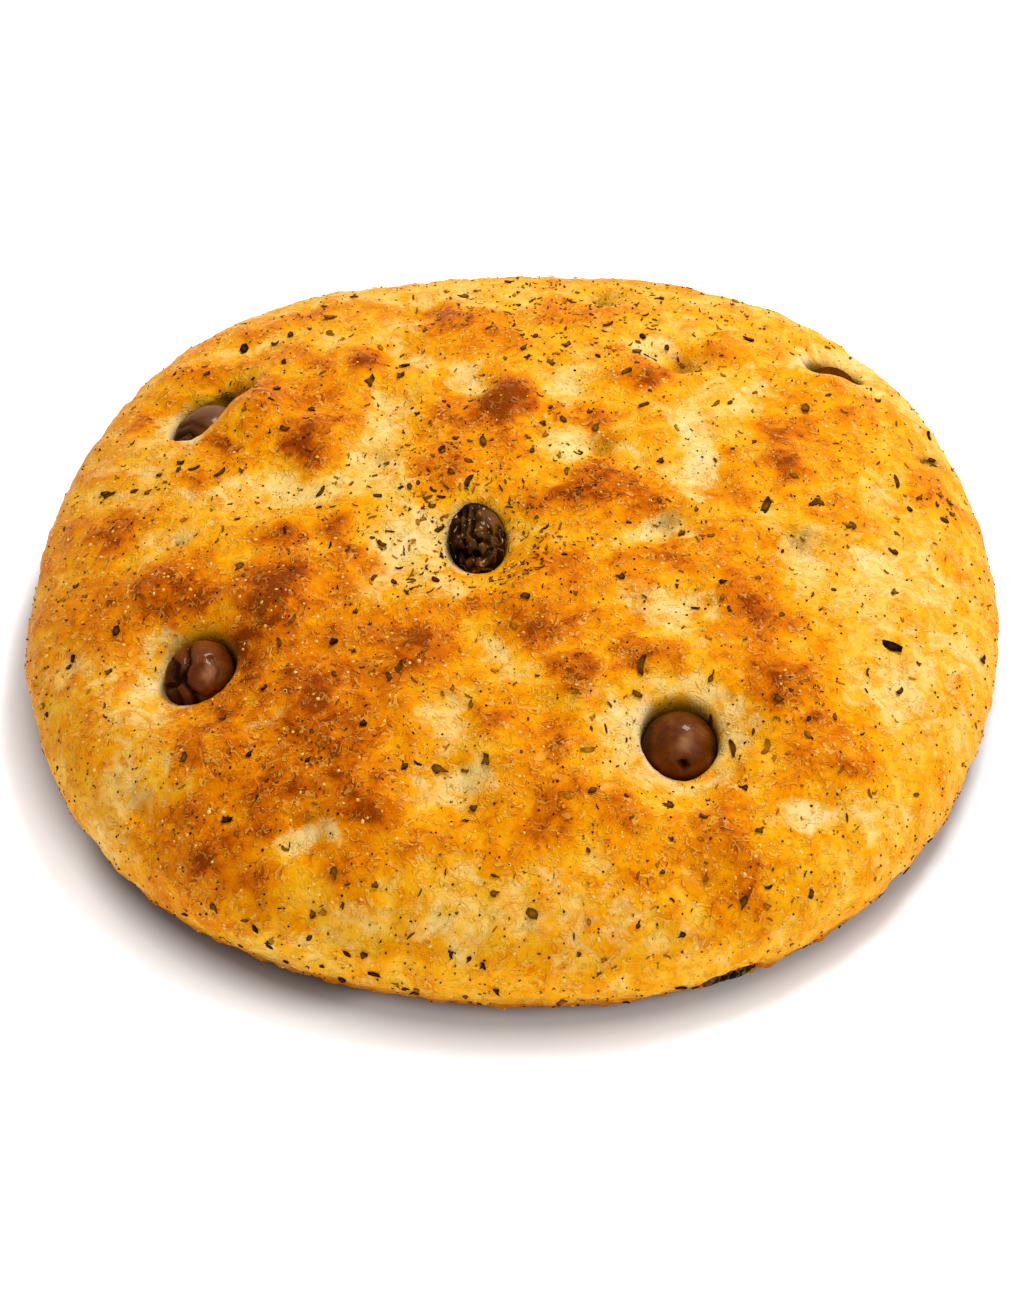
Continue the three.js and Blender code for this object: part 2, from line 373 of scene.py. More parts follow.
loaf = {  # mm, and shares of the outline
    "radius": 125.9, "crown": 46.0, "waist": 14.0, "foot": 0.92, "footDip": 1.06,
    "waves": [(2, -0.4, 0.6), (3, -0.6, 0.8), (4, -2.6, 0.4), (5, 0.4, -0.7), (6, 0.4, 0.0)],
    "flatness": 2.5, "fullness": 2.2,  # the powers of the dome's curve, across and up
    "roundSteps": 180, "sideSteps": 22, "underSteps": 5,
    "firstVoxel": 1.7, "lastVoxel": 1.14, "lipSmooth": 3, "relief": 1.3, "pitReach": 1.3, "pitDepth": 2.4,
    "base": {"inset": 6, "height": 0.8, "facesKept": 0.05},
}
skinNoises = {  # width and height in mm
    "proof": (26, 1.1), "mottle": (7.5, 1.5), "blister": (3, 0.75), "foot": (2.8, 2.2),
}
heightBands = {  # heights in mm between which each noise or mark sets in or ends
    "proof": (2, 10), "skin": (0.4, 3), "footStart": (0.2, 1.2), "footEnd": (3, 6), "rim": (3, 11),
    "low": (4, 30),
}
wellCalm = {"share": 0.85, "lip": 1.15, "end": 1.5}  # how much smoother the skin is round the olives
dents = [  # x, y, reach and rise in mm
    (-13, 52, 12, -3), (-37, 23, 9, -2.5), (-30, 67, 13, -2.5), (-33, 47, 12, -2.2), (-29, 32, 11, -2),
    (-70, 75, 13, -2), (-74, 61, 9, -4.5), (-60, 13, 17, -2.5), (12, 50, 11, -2), (43, 65, 11, -4.5),
    (21, 26, 9, -3), (46, 34, 10, -2), (46, 14, 12, -2), (35, -3, 12, -3.5), (70, -8, 11, -3.5),
    (24, 97, 10, -2.5), (107.4, 42, 8, -1.4), (100, 17, 9, -2), (-30, -16, 14, -2.5), (-8, -43, 12, -2.5),
    (-16, -65, 9, -2), (-15, -86, 14, -3), (-48, -96, 9, -2), (8, -65, 10, -2.5), (42, -30, 10, -2.2),
    (27, -33, 8, -1.8), (90, -48, 10, -2), (72, -87, 13, -2.5), (43, -105, 10, -2), (-88, -82, 8, -1.8),
    (-112, -33, 9, -1.6), (95, -8, 10, -1.5), (-27, 90, 13, -2),
]
pillows = [
    (-60, -28, 17, 2.5), (-2, 46, 12, 2.2), (-52, 31, 14, 2.5), (67, -53, 16, 2.2), (-50, -60, 14, 2),
    (-36, -87, 14, 2.2), (-38, -72, 10, 1), (14, -53, 11, 1.8), (-86, -20, 15, 2), (-25, -47, 12, 1.5),
    (-40, 63, 10, 1.8), (-12, 83, 14, 1.5), (-20, 18, 13, 1.5), (32, -45, 9, 1.2), (33, 57, 12, 2.2),
    (20, 10, 16, 1.8), (-2, -72, 12, 1.5), (-72, -72, 13, 1.5), (-72, -96, 12, 1.3), (12, -88, 11, 1.5),
    (52, -98, 12, 1.5), (78, -73, 11, 1.2), (70, 25, 13, 1.8), (60, 70, 12, 1.5), (85, 50, 15, 1.8),
    (-90, 66, 12, 1.5), (-57, -3, 11, 1.4), (5, -28, 13, 1.3), (55, -22, 12, 1.4), (85, 0, 12, 1.2),
    (-68, 41, 16.5, 4.8), (82, 60, 13, 2.9), (74, 64, 8, 1.5),
]
pits = [  # x, y and reach in mm of the small craters in the dents, and how grey they are, which sets both their depth and their painted shade
    (22, 29, 3.6, 0.8), (44.5, 66, 4.2, 0.82), (71, -2, 4.2, 0.75), (38, 1, 3.8, 0.8), (-35, 25, 3.6, 0.6),
    (-46, -94, 3.4, 0.3), (-11, -83, 4.4, 0.5), (46, 37, 3, 0.4), (-85, -3, 4.6, 0.6),
    (107.8, 41.2, 3, 0.45), (24, 99, 4.4, 0.9), (-90, -78, 4.2, 0.6), (-28, 52, 3, 0.4), (9, 107, 4, 0.6),
    (-16, 56, 3, 0.2), (-73, 55, 6, 1.2), (-75, 51, 4, 1.2),
]
shadowPockets = [  # painted shade in deep places as the camera sees them: far left well, small pit at the right
    (-79.5, 49.5, 5, 5, 1.0), (-77.5, 54.5, 5, 6.5, 0.75), (108.9, 39, 2, 2.2, 1.0),
    (108.7, 40.4, 5, 5, 0.7),
]
hollows = [  # the hollow round each olive's well
    (-9.4, -8, 22, -6), (-79, -43, 25, -9.5), (40, -71, 26, -10), (-86, 52, 20, -5), (86, 77, 18, -7),
    (-75, 57, 7, -8), (80, 66, 8, -2.6),
]
olives = {  # half sizes and place in mm, turn and lift in degrees; the well's lean, flare and the strength of the painted shade on its far wall
    "olive_middle": {
        "half": (7.15, 10.9, 7.6), "at": (-9.4, -5, 42), "turn": 4, "lift": 0,
        "lean": (0, 0), "open": 0.7, "wall": 0.3,
    },
    "olive_left": {
        "half": (8.2, 9.8, 8), "at": (-77, -41, 30.8), "turn": -32, "lift": 0,
        "lean": (0.06, -0.15), "open": 1, "wall": 1,
    },
    "olive_front": {
        "half": (9.1, 9.6, 9.1), "at": (39.2, -64.8, 30.3), "turn": 0, "lift": -26,
        "lean": (0, -0.2), "open": 1, "wall": 1,
    },
    "olive_far_left": {
        "half": (8.3, 10, 8.2), "at": (-80.5, 47.5, 28.5), "turn": -42, "lift": 0,
        "lean": (-0.22, 0.1), "open": 0.8, "wall": 1,
    },
    "olive_far_right": {
        "half": (7.8, 8.8, 8), "at": (84.5, 71.5, 21.2), "turn": 0, "lift": 0,
        "lean": (0.1, 0.15), "open": 0.35, "wall": 0.6,
    },
}
well = {  # mm; the mouth is in shares of the cup and heights over the olive's middle
    "gap": 0.2, "sides": 40, "rings": 20, "brim": 0.02,
    "mouth": [(1.02, 0.5), (1.06, 1), (1.16, 1.5), (1.32, 2.1), (1.32, 3)],
}


def outline(angle):
    radius = loaf["radius"]
    for turns, cosine, sine in loaf["waves"]:
        radius = radius + cosine * np.cos(turns * angle) + sine * np.sin(turns * angle)
    return radius


def sideProfile():  # share of the outline and height in mm, from the foot up to the crown
    side = []
    for i in range(loaf["underSteps"], 0, -1):
        sweep = math.pi / 2 * i / loaf["underSteps"]
        drop = loaf["waist"] * loaf["footDip"] * math.sin(sweep)
        side.append((loaf["foot"] + (1 - loaf["foot"]) * math.cos(sweep), max(loaf["waist"] - drop, 0)))
    for i in range(loaf["sideSteps"], 0, -1):
        sweep = math.pi / 2 * i / loaf["sideSteps"]
        rise = (loaf["crown"] - loaf["waist"]) * math.cos(sweep) ** (2 / loaf["fullness"])
        side.append((math.sin(sweep) ** (2 / loaf["flatness"]), loaf["waist"] + rise))
    return side


def raiseLoaf():  # a filled circle, extruded up ring by ring and drawn in to the crown
    side = sideProfile()
    body = add(bpy.ops.mesh.primitive_circle_add, "focacciaCrust", vertices=loaf["roundSteps"],
               radius=side[0][0] * mm, fill_type='NGON')
    editAll()
    for lower, upper in zip(side, side[1:]):
        extrudeTo(*lower, *upper)
    faceOutwards()
    co = points(body)
    radius = outline(np.arctan2(co[:, 1], co[:, 0]))
    for axis in (0, 1):
        co[:, axis] = co[:, axis] * radius + loafShift[axis] * mm
    setPoints(body, co)
    return body


def pressAndPuff(body, places):  # each pulls one point of the upper crust, and its surroundings follow
    for x, y, reach, rise in places:
        co = points(body)
        spot = place(x, y)
        gap = np.hypot(co[:, 0] - spot.x, co[:, 1] - spot.y)
        gap[co[:, 2] < loaf["waist"] * mm] = np.inf
        editChosen(body, gap == gap.min())
        pull(bpy.ops.transform.translate, (0, 0, rise * mm), 'SMOOTH', reach)


def wellCutter(olive):  # a cup that fits the olive and opens out above it
    cutter = add(bpy.ops.mesh.primitive_uv_sphere_add, "wellCutter", segments=well["sides"],
                 ring_count=well["rings"], radius=mm)
    editAll()
    brim = well["brim"]
    bpy.ops.mesh.bisect(plane_co=(0, 0, brim * mm), plane_no=(0, 0, 1), clear_outer=True, use_fill=True)
    rim = [(1.0, brim)] + [(1 + (share - 1) * olive["open"], height) for share, height in well["mouth"]]
    for lower, upper in zip(rim, rim[1:]):
        extrudeTo(*lower, *upper)
    faceOutwards()
    co = points(cutter) * [half + well["gap"] for half in olive["half"]]
    x, y = turned(co[:, 0], co[:, 1], math.radians(olive["turn"]))
    above = np.maximum(co[:, 2], 0)
    leant = np.stack([x + olive["lean"][0] * above, y + olive["lean"][1] * above, co[:, 2]], axis=1)
    setPoints(cutter, leant + np.array(place(*olive["at"])))
    return cutter


def wellNearness(co, lip, end):  # 1 in and at the olives' wells, 0 outside their lips
    near = np.zeros(len(co))
    for olive in olives.values():
        middle = place(*olive["at"])
        x, y = turned(co[:, 0] - middle.x, co[:, 1] - middle.y, -math.radians(olive["turn"]))
        along, across = x / (olive["half"][0] * mm), y / (olive["half"][1] * mm)
        near = np.maximum(near, 1 - smoothStep(np.hypot(along, across), lip, end))
    return near


def cutAway(body, cutter):
    applyModifier(body, 'BOOLEAN', operation='DIFFERENCE', object=cutter, solver='EXACT')
    remove(cutter)


def remesh(body, voxel):
    applyModifier(body, 'REMESH', mode='VOXEL', voxel_size=voxel * mm)


def thinTheBase(body):  # the flat underside needs few faces
    base = loaf["base"]
    co = points(body)
    inFoot = np.hypot(co[:, 0], co[:, 1]) < (loaf["foot"] * loaf["radius"] - base["inset"]) * mm
    editChosen(body, inFoot & (co[:, 2] < base["height"] * mm))
    bpy.ops.mesh.decimate(ratio=base["facesKept"])
    bpy.ops.object.mode_set(mode='OBJECT')


def heightBand(co, name):  # 0 below the band and 1 above it
    low, high = heightBands[name]
    return smoothStep(co[:, 2], low * mm, high * mm)


def roughenSkin(body):  # mottle and blisters, also kept as marks for the colour, and a rough foot
    co = points(body)
    awayFromWells = 1 - wellCalm["share"] * wellNearness(co, wellCalm["lip"], wellCalm["end"])
    skin = weigh(body, "openSkin", heightBand(co, "skin") * awayFromWells)
    facing = readAll(body.data.vertices, "normal")
    before = co
    for noise, mark in (("mottle", "raised"), ("blister", "blistered")):
        roughen(body, noise + "Noise", *skinNoises[noise], skin)
        after = points(body)
        rise = np.einsum('ij,ij->i', after - before, facing)
        setMarks(body, {mark: rise / (skinNoises[noise][1] * mm)})
        before = after
    nearFoot = heightBand(co, "footStart") * (1 - heightBand(co, "footEnd"))
    roughen(body, "footNoise", *skinNoises["foot"], weigh(body, "foot", nearFoot))


def makeLoaf():
    body = raiseLoaf()
    remesh(body, loaf["firstVoxel"])
    pressAndPuff(body, [(x, y, reach, rise * loaf["relief"]) for x, y, reach, rise in dents + pillows])
    craters = [(x, y, reach * loaf["pitReach"], -loaf["pitDepth"] * grey) for x, y, reach, grey in pits]
    pressAndPuff(body, hollows + craters)
    print("stage: loaf raised, dented and puffed")
    roughen(body, "proofNoise", *skinNoises["proof"], weigh(body, "top", heightBand(points(body), "proof")))
    for olive in olives.values():
        cutAway(body, wellCutter(olive))
    cutAway(body, leafNick())
    remesh(body, loaf["lastVoxel"])
    applyModifier(body, 'SMOOTH', factor=0.5, iterations=loaf["lipSmooth"])
    body.vertex_groups.clear()
    thinTheBase(body)
    roughenSkin(body)
    body.vertex_groups.clear()
    co = points(body)
    co[:, 2] = np.maximum(co[:, 2], 0)
    setPoints(body, co)
    print("stage: wells cut and crust roughened,", len(body.data.polygons), "faces")
    return body


# The charred leaf in its nick at the rim

leaf = {  # degrees and mm; the nick is that much longer and wider than the leaf
    "bearing": -66, "height": 4.7, "length": 14, "width": 3.4, "thickness": 0.9, "lean": 28, "sink": 1.9,
    "wave": 0.45, "waveLength": 9, "waveTurn": 1.3, "taper": 0.35, "rim": 0.985, "parts": 8,
    "gap": 0.35, "nickRoom": (2, 1.4), "nickHeight": 9,
}


def leafSlab(name, length, width, front, back):
    parts = leaf["parts"]
    slab = add(bpy.ops.mesh.primitive_grid_add, name, x_subdivisions=parts * 3, y_subdivisions=parts,
               size=2 * mm)
    editAll()
    bpy.ops.mesh.extrude_region_move(TRANSFORM_OT_translate={"value": (0, 0, mm)})
    faceOutwards()
    co = points(slab) / mm
    x, y = co[:, 0] * length / 2, co[:, 1] * width / 2
    taper = 1 - leaf["taper"] * np.abs(co[:, 0]) ** 3
    wave = leaf["wave"]
    curl = wave * np.sin(2 * math.pi * x / leaf["waveLength"]) + wave * np.cos(y * leaf["waveTurn"])
    setPoints(slab, placeAtRim(x, y * taper, np.where(co[:, 2] > 0.5, front, back) + curl))
    return slab


def placeAtRim(x, y, z):  # from lying flat to leaning in the nick, mm to metres
    bearing = math.radians(leaf["bearing"])
    y, z = turned(y, z, math.radians(90 - leaf["lean"]))
    x, y = turned(x, y, bearing + math.pi / 2)
    out = outline(bearing) * leaf["rim"] - leaf["sink"]
    spot = place(out * math.cos(bearing), out * math.sin(bearing), leaf["height"])
    return np.stack([x, y, z], axis=1) * mm + np.array(spot)


def leafNick():
    moreLength, moreWidth = leaf["nickRoom"]
    return leafSlab("leafNick", leaf["length"] + moreLength, leaf["width"] + moreWidth, leaf["nickHeight"],
                    -leaf["thickness"] - leaf["gap"])


body = makeLoaf()


# The crust's colours

toastSpots = [  # as the camera sees them: x, y, reach across and up in mm, and how brown
    (-60, -24, 9, 11, 0.8), (-63, -33, 6, 6, 0.5), (-55, -20, 6, 6, 0.35), (-64, -43, 5, 7, 0.6),
    (-70, -60, 9, 5, 0.45), (-85, -20, 13, 7, 0.6), (-90, -27, 9, 5, 0.5), (-98, -32, 6, 5, 0.35),
    (-58, -4, 7, 5, 0.65), (-44, -6, 5, 7, 0.6), (-41, -18, 7, 8, 0.45), (-45, -31, 8, 8, 0.4),
    (-25, -44, 12, 10, 0.5), (-17, -36, 7, 7, 0.35), (-12, -32, 8, 4, 0.25), (-50, -58, 7, 7, 0.55),
    (-44, -63, 6, 5, 0.45), (-58, -50, 9, 6, 0.35), (-38, -75, 5, 6, 0.65), (-36, -88, 7, 9, 0.65),
    (-37, -103, 5, 5, 0.4), (-47, -77, 7, 6, 0.4), (-80, -86, 8, 6, 0.6), (-70, -98, 11, 7, 0.45),
    (-62, -104, 8, 5, 0.35), (-75, -68, 9, 8, 0.35), (-66, -78, 9, 8, 0.35), (-55, -86, 8, 8, 0.3),
    (-4, -65, 7, 8, 0.5), (-20, -98, 9, 7, 0.25), (-5, -100, 8, 8, 0.2), (-106, -20, 8, 11, 0.3),
    (-100, -50, 22, 50, 0.14), (-70, -40, 40, 50, 0.08), (-53, 32, 7, 8, 0.6), (-50, 26, 7, 8, 0.5),
    (-58, 27, 5, 6, 0.25), (-76, 32, 5, 4, 0.65), (-76, 22, 7, 5, 0.35), (-40, 62, 5, 6, 0.8),
    (-18, 83, 10, 6, 0.6), (-12, 87, 5, 4, 0.35), (-79, 67, 12, 5, 0.4), (-62, 50, 12, 8, 0.4),
    (-45, 48, 8, 6, 0.35), (-57, 68, 12, 5, 0.3), (-2, 45, 8, 9, 0.95), (-10, 39, 9, 6, 0.55),
    (-19, 27, 7, 9, 0.55), (-19, 14, 7, 7, 0.5), (-101, 4, 7, 7, 0.5), (-115, 10, 6, 10, 0.2),
    (-95, 52, 8, 8, 0.25), (-60, 88, 14, 6, 0.25), (-40, 92, 12, 6, 0.2), (-5, 72, 7, 6, 0.4),
    (35, 56, 6, 7, 0.6), (12, 87, 8, 6, 0.45), (70, 22, 6, 7, 0.65), (67, 36, 6, 7, 0.5),
    (55, 69, 6, 7, 0.35), (88, 55, 13, 8, 0.25), (86, 45, 10, 7, 0.25), (12, 6, 8, 6, 0.6),
    (22, 11, 9, 7, 0.5), (32, 8, 8, 7, 0.45), (20, 39, 13, 4, 0.45), (22, 80, 8, 5, 0.2),
    (40, 88, 16, 6, 0.2), (54, 22, 4, 6, 0.5), (54, 9, 7, 6, 0.4), (80, 8, 8, 6, 0.35), (86, 28, 6, 6, 0.2),
    (106, 28, 7, 9, 0.35), (66, -53, 10, 9, 0.6), (65, -54, 5, 5, 0.3), (32, -45, 9, 5, 0.6),
    (37, -49, 4, 4, 0.3), (15, -54, 6, 7, 0.6), (5, -34, 9, 9, 0.5), (12, -17, 9, 5, 0.5),
    (30, -15, 10, 4, 0.45), (40, -15, 6, 5, 0.5), (56, -9, 8, 10, 0.4), (60, -32, 9, 7, 0.5),
    (54, -22, 6, 6, 0.45), (74, -73, 9, 5, 0.45), (8, -85, 7, 5, 0.5), (8, -95, 6, 6, 0.4),
    (51, -97, 6, 9, 0.4), (52, -109, 7, 4, 0.5), (33, -102, 6, 6, 0.3), (10, -72, 7, 8, 0.4),
    (25, -92, 6, 5, 0.3), (-48, -66, 27, 38, 0.42), (-30, -45, 24, 16, 0.3), (-88, -20, 20, 13, 0.26),
    (10, -28, 30, 15, 0.3), (54, -24, 12, 30, 0.32), (70, -62, 16, 20, 0.26), (50, -98, 13, 16, 0.3),
    (-52, 44, 22, 20, 0.26), (-8, 34, 16, 20, 0.28), (22, 8, 24, 12, 0.3), (-15, 80, 24, 10, 0.2),
    (70, 28, 11, 20, 0.26), (35, 56, 10, 12, 0.2), (86, 50, 18, 12, 0.22), (8, -88, 14, 18, 0.26),
    (-70, -95, 20, 12, 0.3), (14, -52, 9, 12, 0.22),
]
paleSpots = [
    (-26, -10, 9, 12, 0.8), (-33, -26, 6, 8, 0.55), (-18, -24, 6, 4, 0.6), (-86, -4, 7, 6, 0.5),
    (-88, -47, 6, 11, 0.7), (-80, -61, 8, 4, 0.4), (-83, -34, 6, 3, 0.5), (-58, -63, 7, 5, 0.6),
    (-48, -96, 6, 5, 1.0), (-15, -86, 9, 7, 0.75), (-16, -65, 7, 8, 0.65), (-4, -47, 7, 7, 0.5),
    (-86, -76, 6, 10, 0.3), (-12, -116, 9, 5, 0.4), (-105, -45, 8, 12, 0.25), (-112, -33, 5, 9, 0.35),
    (-95, -62, 8, 10, 0.2), (-10, -106, 8, 4, 0.3), (-45, -115, 12, 4, 0.2), (-13, 53, 6, 7, 1.0),
    (-35, 34, 6, 14, 0.65), (-37, 22, 6, 5, 0.6), (-55, 12, 22, 6, 0.5), (-70, 14, 10, 5, 0.4),
    (-30, 78, 8, 7, 0.45), (-46, 75, 8, 5, 0.35), (-70, 75, 9, 5, 0.4), (-31, 52, 5, 8, 0.35),
    (-26, 42, 4, 8, 0.3), (-27, 15, 6, 7, 0.4), (-100, 19, 8, 6, 0.3), (-90, 45, 5, 8, 0.6),
    (-20, 97, 14, 7, 0.35), (-72, 100, 15, 8, 0.3), (-25, 65, 6, 6, 0.35), (-44, 10, 10, 5, 0.3),
    (12, 50, 7, 9, 0.5), (38, 69, 7, 6, 0.85), (14, 27, 7, 6, 0.8), (46, 33, 6, 8, 0.75),
    (46, 14, 6, 12, 0.8), (62, 4, 8, 6, 0.4), (60, 50, 10, 8, 0.4), (88, 79, 9, 7, 0.7),
    (76, 67, 8, 5, 0.5), (96, 20, 9, 8, 0.35), (30, 35, 6, 4, 0.4), (45, 80, 10, 6, 0.25),
    (26, 97, 6, 4, 0.3), (106, 60, 8, 12, 0.35), (75, 95, 14, 8, 0.3), (30, 22, 6, 5, 0.4),
    (34, -5, 8, 6, 0.85), (40, -30, 9, 7, 0.75), (27, -31, 6, 5, 0.5), (69, -10, 6, 10, 0.75),
    (90, -49, 8, 8, 0.6), (67, -87, 8, 4, 1.0), (82, -86, 7, 4, 0.55), (22, -62, 9, 7, 0.55),
    (27, -72, 7, 7, 0.5), (53, -67, 6, 8, 0.5), (43, -85, 10, 5, 0.5), (96, -10, 12, 8, 0.4),
    (85, -20, 8, 10, 0.35), (42, -57, 9, 4, 0.5), (50, -42, 9, 6, 0.35), (5, -112, 10, 6, 0.3),
    (25, -110, 8, 5, 0.25), (3, -50, 6, 6, 0.45), (107, -40, 8, 12, 0.3), (-8, 4, 10, 6, 0.3),
    (3, -6, 6, 8, 0.4), (98, -25, 20, 36, 0.36), (92, -50, 10, 14, 0.35), (48, 30, 13, 26, 0.36),
    (62, 52, 14, 14, 0.28), (16, 50, 12, 16, 0.26), (20, 92, 60, 12, 0.2), (102, 62, 18, 30, 0.28),
    (-26, -12, 14, 18, 0.3), (-62, 12, 32, 9, 0.34), (-93, -44, 13, 28, 0.36), (-13, -76, 11, 16, 0.28),
    (39, -72, 19, 19, 0.3), (25, -72, 8, 15, 0.4), (-36, 98, 44, 13, 0.26), (-32, 36, 10, 26, 0.3),
    (-96, 30, 14, 30, 0.26), (37, -31, 12, 9, 0.3), (6, -112, 46, 9, 0.28), (-50, -114, 30, 7, 0.22),
    (80, 2, 14, 12, 0.24), (-100, -66, 16, 20, 0.2), (-28, 68, 7, 12, 0.3), (88, -84, 18, 9, 0.24),
    (-9, -22, 13, 5, 0.35), (54, -68, 7, 10, 0.3), (-95, -82, 11, 17, 0.5),
]
ragged = [  # waves that fray the patches' edges: reach and lengths in mm, lag in radians
    (1.7, (9.3, 4.1), (4.7, 8.1), 2), (1, (3.1, 1.9), (2.1, 3.7), 0),
]
patchEdge = {"fade": 1.42, "overlap": 0.35}  # how far past its reach a patch fades, and how much two add up
wellShade = {  # where the wells' far walls get painted shade and their left lips are paler, in half sizes of the olive
    "farSlant": 0.4, "far": (-0.3, 0.5), "touch": (1.04, 1.3), "farTouch": 0.25, "least": 0.15,
    "leftSlant": 0.3, "left": (0.0, 0.8), "lip": (1.1, 1.5),
}


def plainDome(x, y):  # height of the loaf without dents or pillows, mm
    share = np.clip(np.hypot(x, y) / outline(np.arctan2(y, x)), 0, 1)
    rise = (1 - share ** loaf["flatness"]) ** (1 / loaf["fullness"])
    return loaf["waist"] + (loaf["crown"] - loaf["waist"]) * rise


def patches(co, spots, seen=True, depth=6):  # seen: moved along the camera's view onto the plain loaf
    x, y = co[:, 0] / mm - loafShift[0], co[:, 1] / mm - loafShift[1]
    if seen:
        y = y + np.clip(co[:, 2] / mm - plainDome(x, y), -depth, depth) / math.tan(tilt)
        plainX, plainY = x, y
        for reach, (ax, ay), (bx, by), lag in ragged:
            x = x + reach * np.sin(plainY / ay + plainX / ax)
            y = y + reach * np.sin(plainX / bx - plainY / by + lag)
    total = np.zeros(len(co))
    for cx, cy, across, up, amount in spots:
        out = np.hypot((x - cx) / across, (y - cy) / up) / patchEdge["fade"]
        here = amount * np.clip(1 - out ** 2, 0, 1)
        total = np.maximum(total, here) + patchEdge["overlap"] * np.minimum(total, here)
    return total


def wellSides(co):  # painted shade on the far wall within touch of its olive, and the paler left lip
    wall, lip = np.zeros(len(co)), np.zeros(len(co))
    least, (start, end) = wellShade["least"], wellShade["touch"]
    for olive in olives.values():
        x, y, z = ((co - np.array(place(*olive["at"]))) / (np.array(olive["half"]) * mm)).T
        far = smoothStep(y + wellShade["farSlant"] * x, *wellShade["far"])
        touch = 1 - smoothStep(np.sqrt(x ** 2 + y ** 2 + z ** 2), start, end + wellShade["farTouch"] * far)
        wall = np.maximum(wall, (least + (1 - least) * far) * touch * olive["wall"])
        left = smoothStep(-x - wellShade["leftSlant"] * y, *wellShade["left"])
        lip = np.maximum(lip, left * (1 - smoothStep(np.hypot(x, y), *wellShade["lip"])))
    return wall, lip


def markCrust(body):
    co = points(body)
    craters = [(x, y, reach, reach, grey) for x, y, reach, grey in pits]
    hollowShade = np.maximum(patches(co, craters, seen=False), patches(co, shadowPockets, depth=20))
    wall, lip = wellSides(co)
    setMarks(body, {
        "pit": np.clip(hollowShade, 0, 1.2) ** 1.7,
        "wall": wall,
        "lip": lip,
        "rim": 1 - heightBand(co, "rim"),
        "toast": patches(co, toastSpots),
        "pale": np.clip(patches(co, paleSpots), 0, 1),
        # lighter towards the bottom of the sides: painted light
        "low": 1 - heightBand(co, "low"),
    })


crust = {
    "shader": {
        "Specular IOR Level": 0.06, "Specular Tint": (1.0, 0.66, 0.1, 1.0), "Coat IOR": 1.4,
        "Coat Roughness": 0.22,
    },
    "noises": {  # width in mm, detail, roughness and twist
        "broad": (38, 2, 0.5, 0), "blotch": (8, 4, 0.62, 0.8), "milk": (6.5, 4, 0.62, 1.1),
        "grain": (1.3, 3, 0.7, 1.2),
    },
    "brown": {  # what moves the tone along the ramp, and how far
        "toast": 0.70, "pale": -0.20, "broad": 0.25, "blotch": 0.8, "toastBlotch": 0.5, "raised": 0.32,
        "blistered": 0.28, "grain": 0.40, "groove": 0.16, "low": -0.08, "leftEnd": 0.07,
    },
    "cream": {"pale": 0.85, "milk": 1.9, "raised": -0.3, "grain": 0.6, "toast": -0.75},
    "height": {"blotch": 0.5, "grain": 0.4, "curl": 0.42, "groove": -0.16},
    "plainTone": 0.372, "plainCream": 0.16,
    "ramp": [
        (0.00, (255, 210, 106)), (0.16, (255, 195, 62)), (0.32, (253, 177, 20)), (0.48, (246, 155, 0)),
        (0.63, (234, 132, 0)), (0.77, (212, 107, 0)), (0.89, (184, 83, 0)), (1.00, (144, 58, 0)),
    ],
}


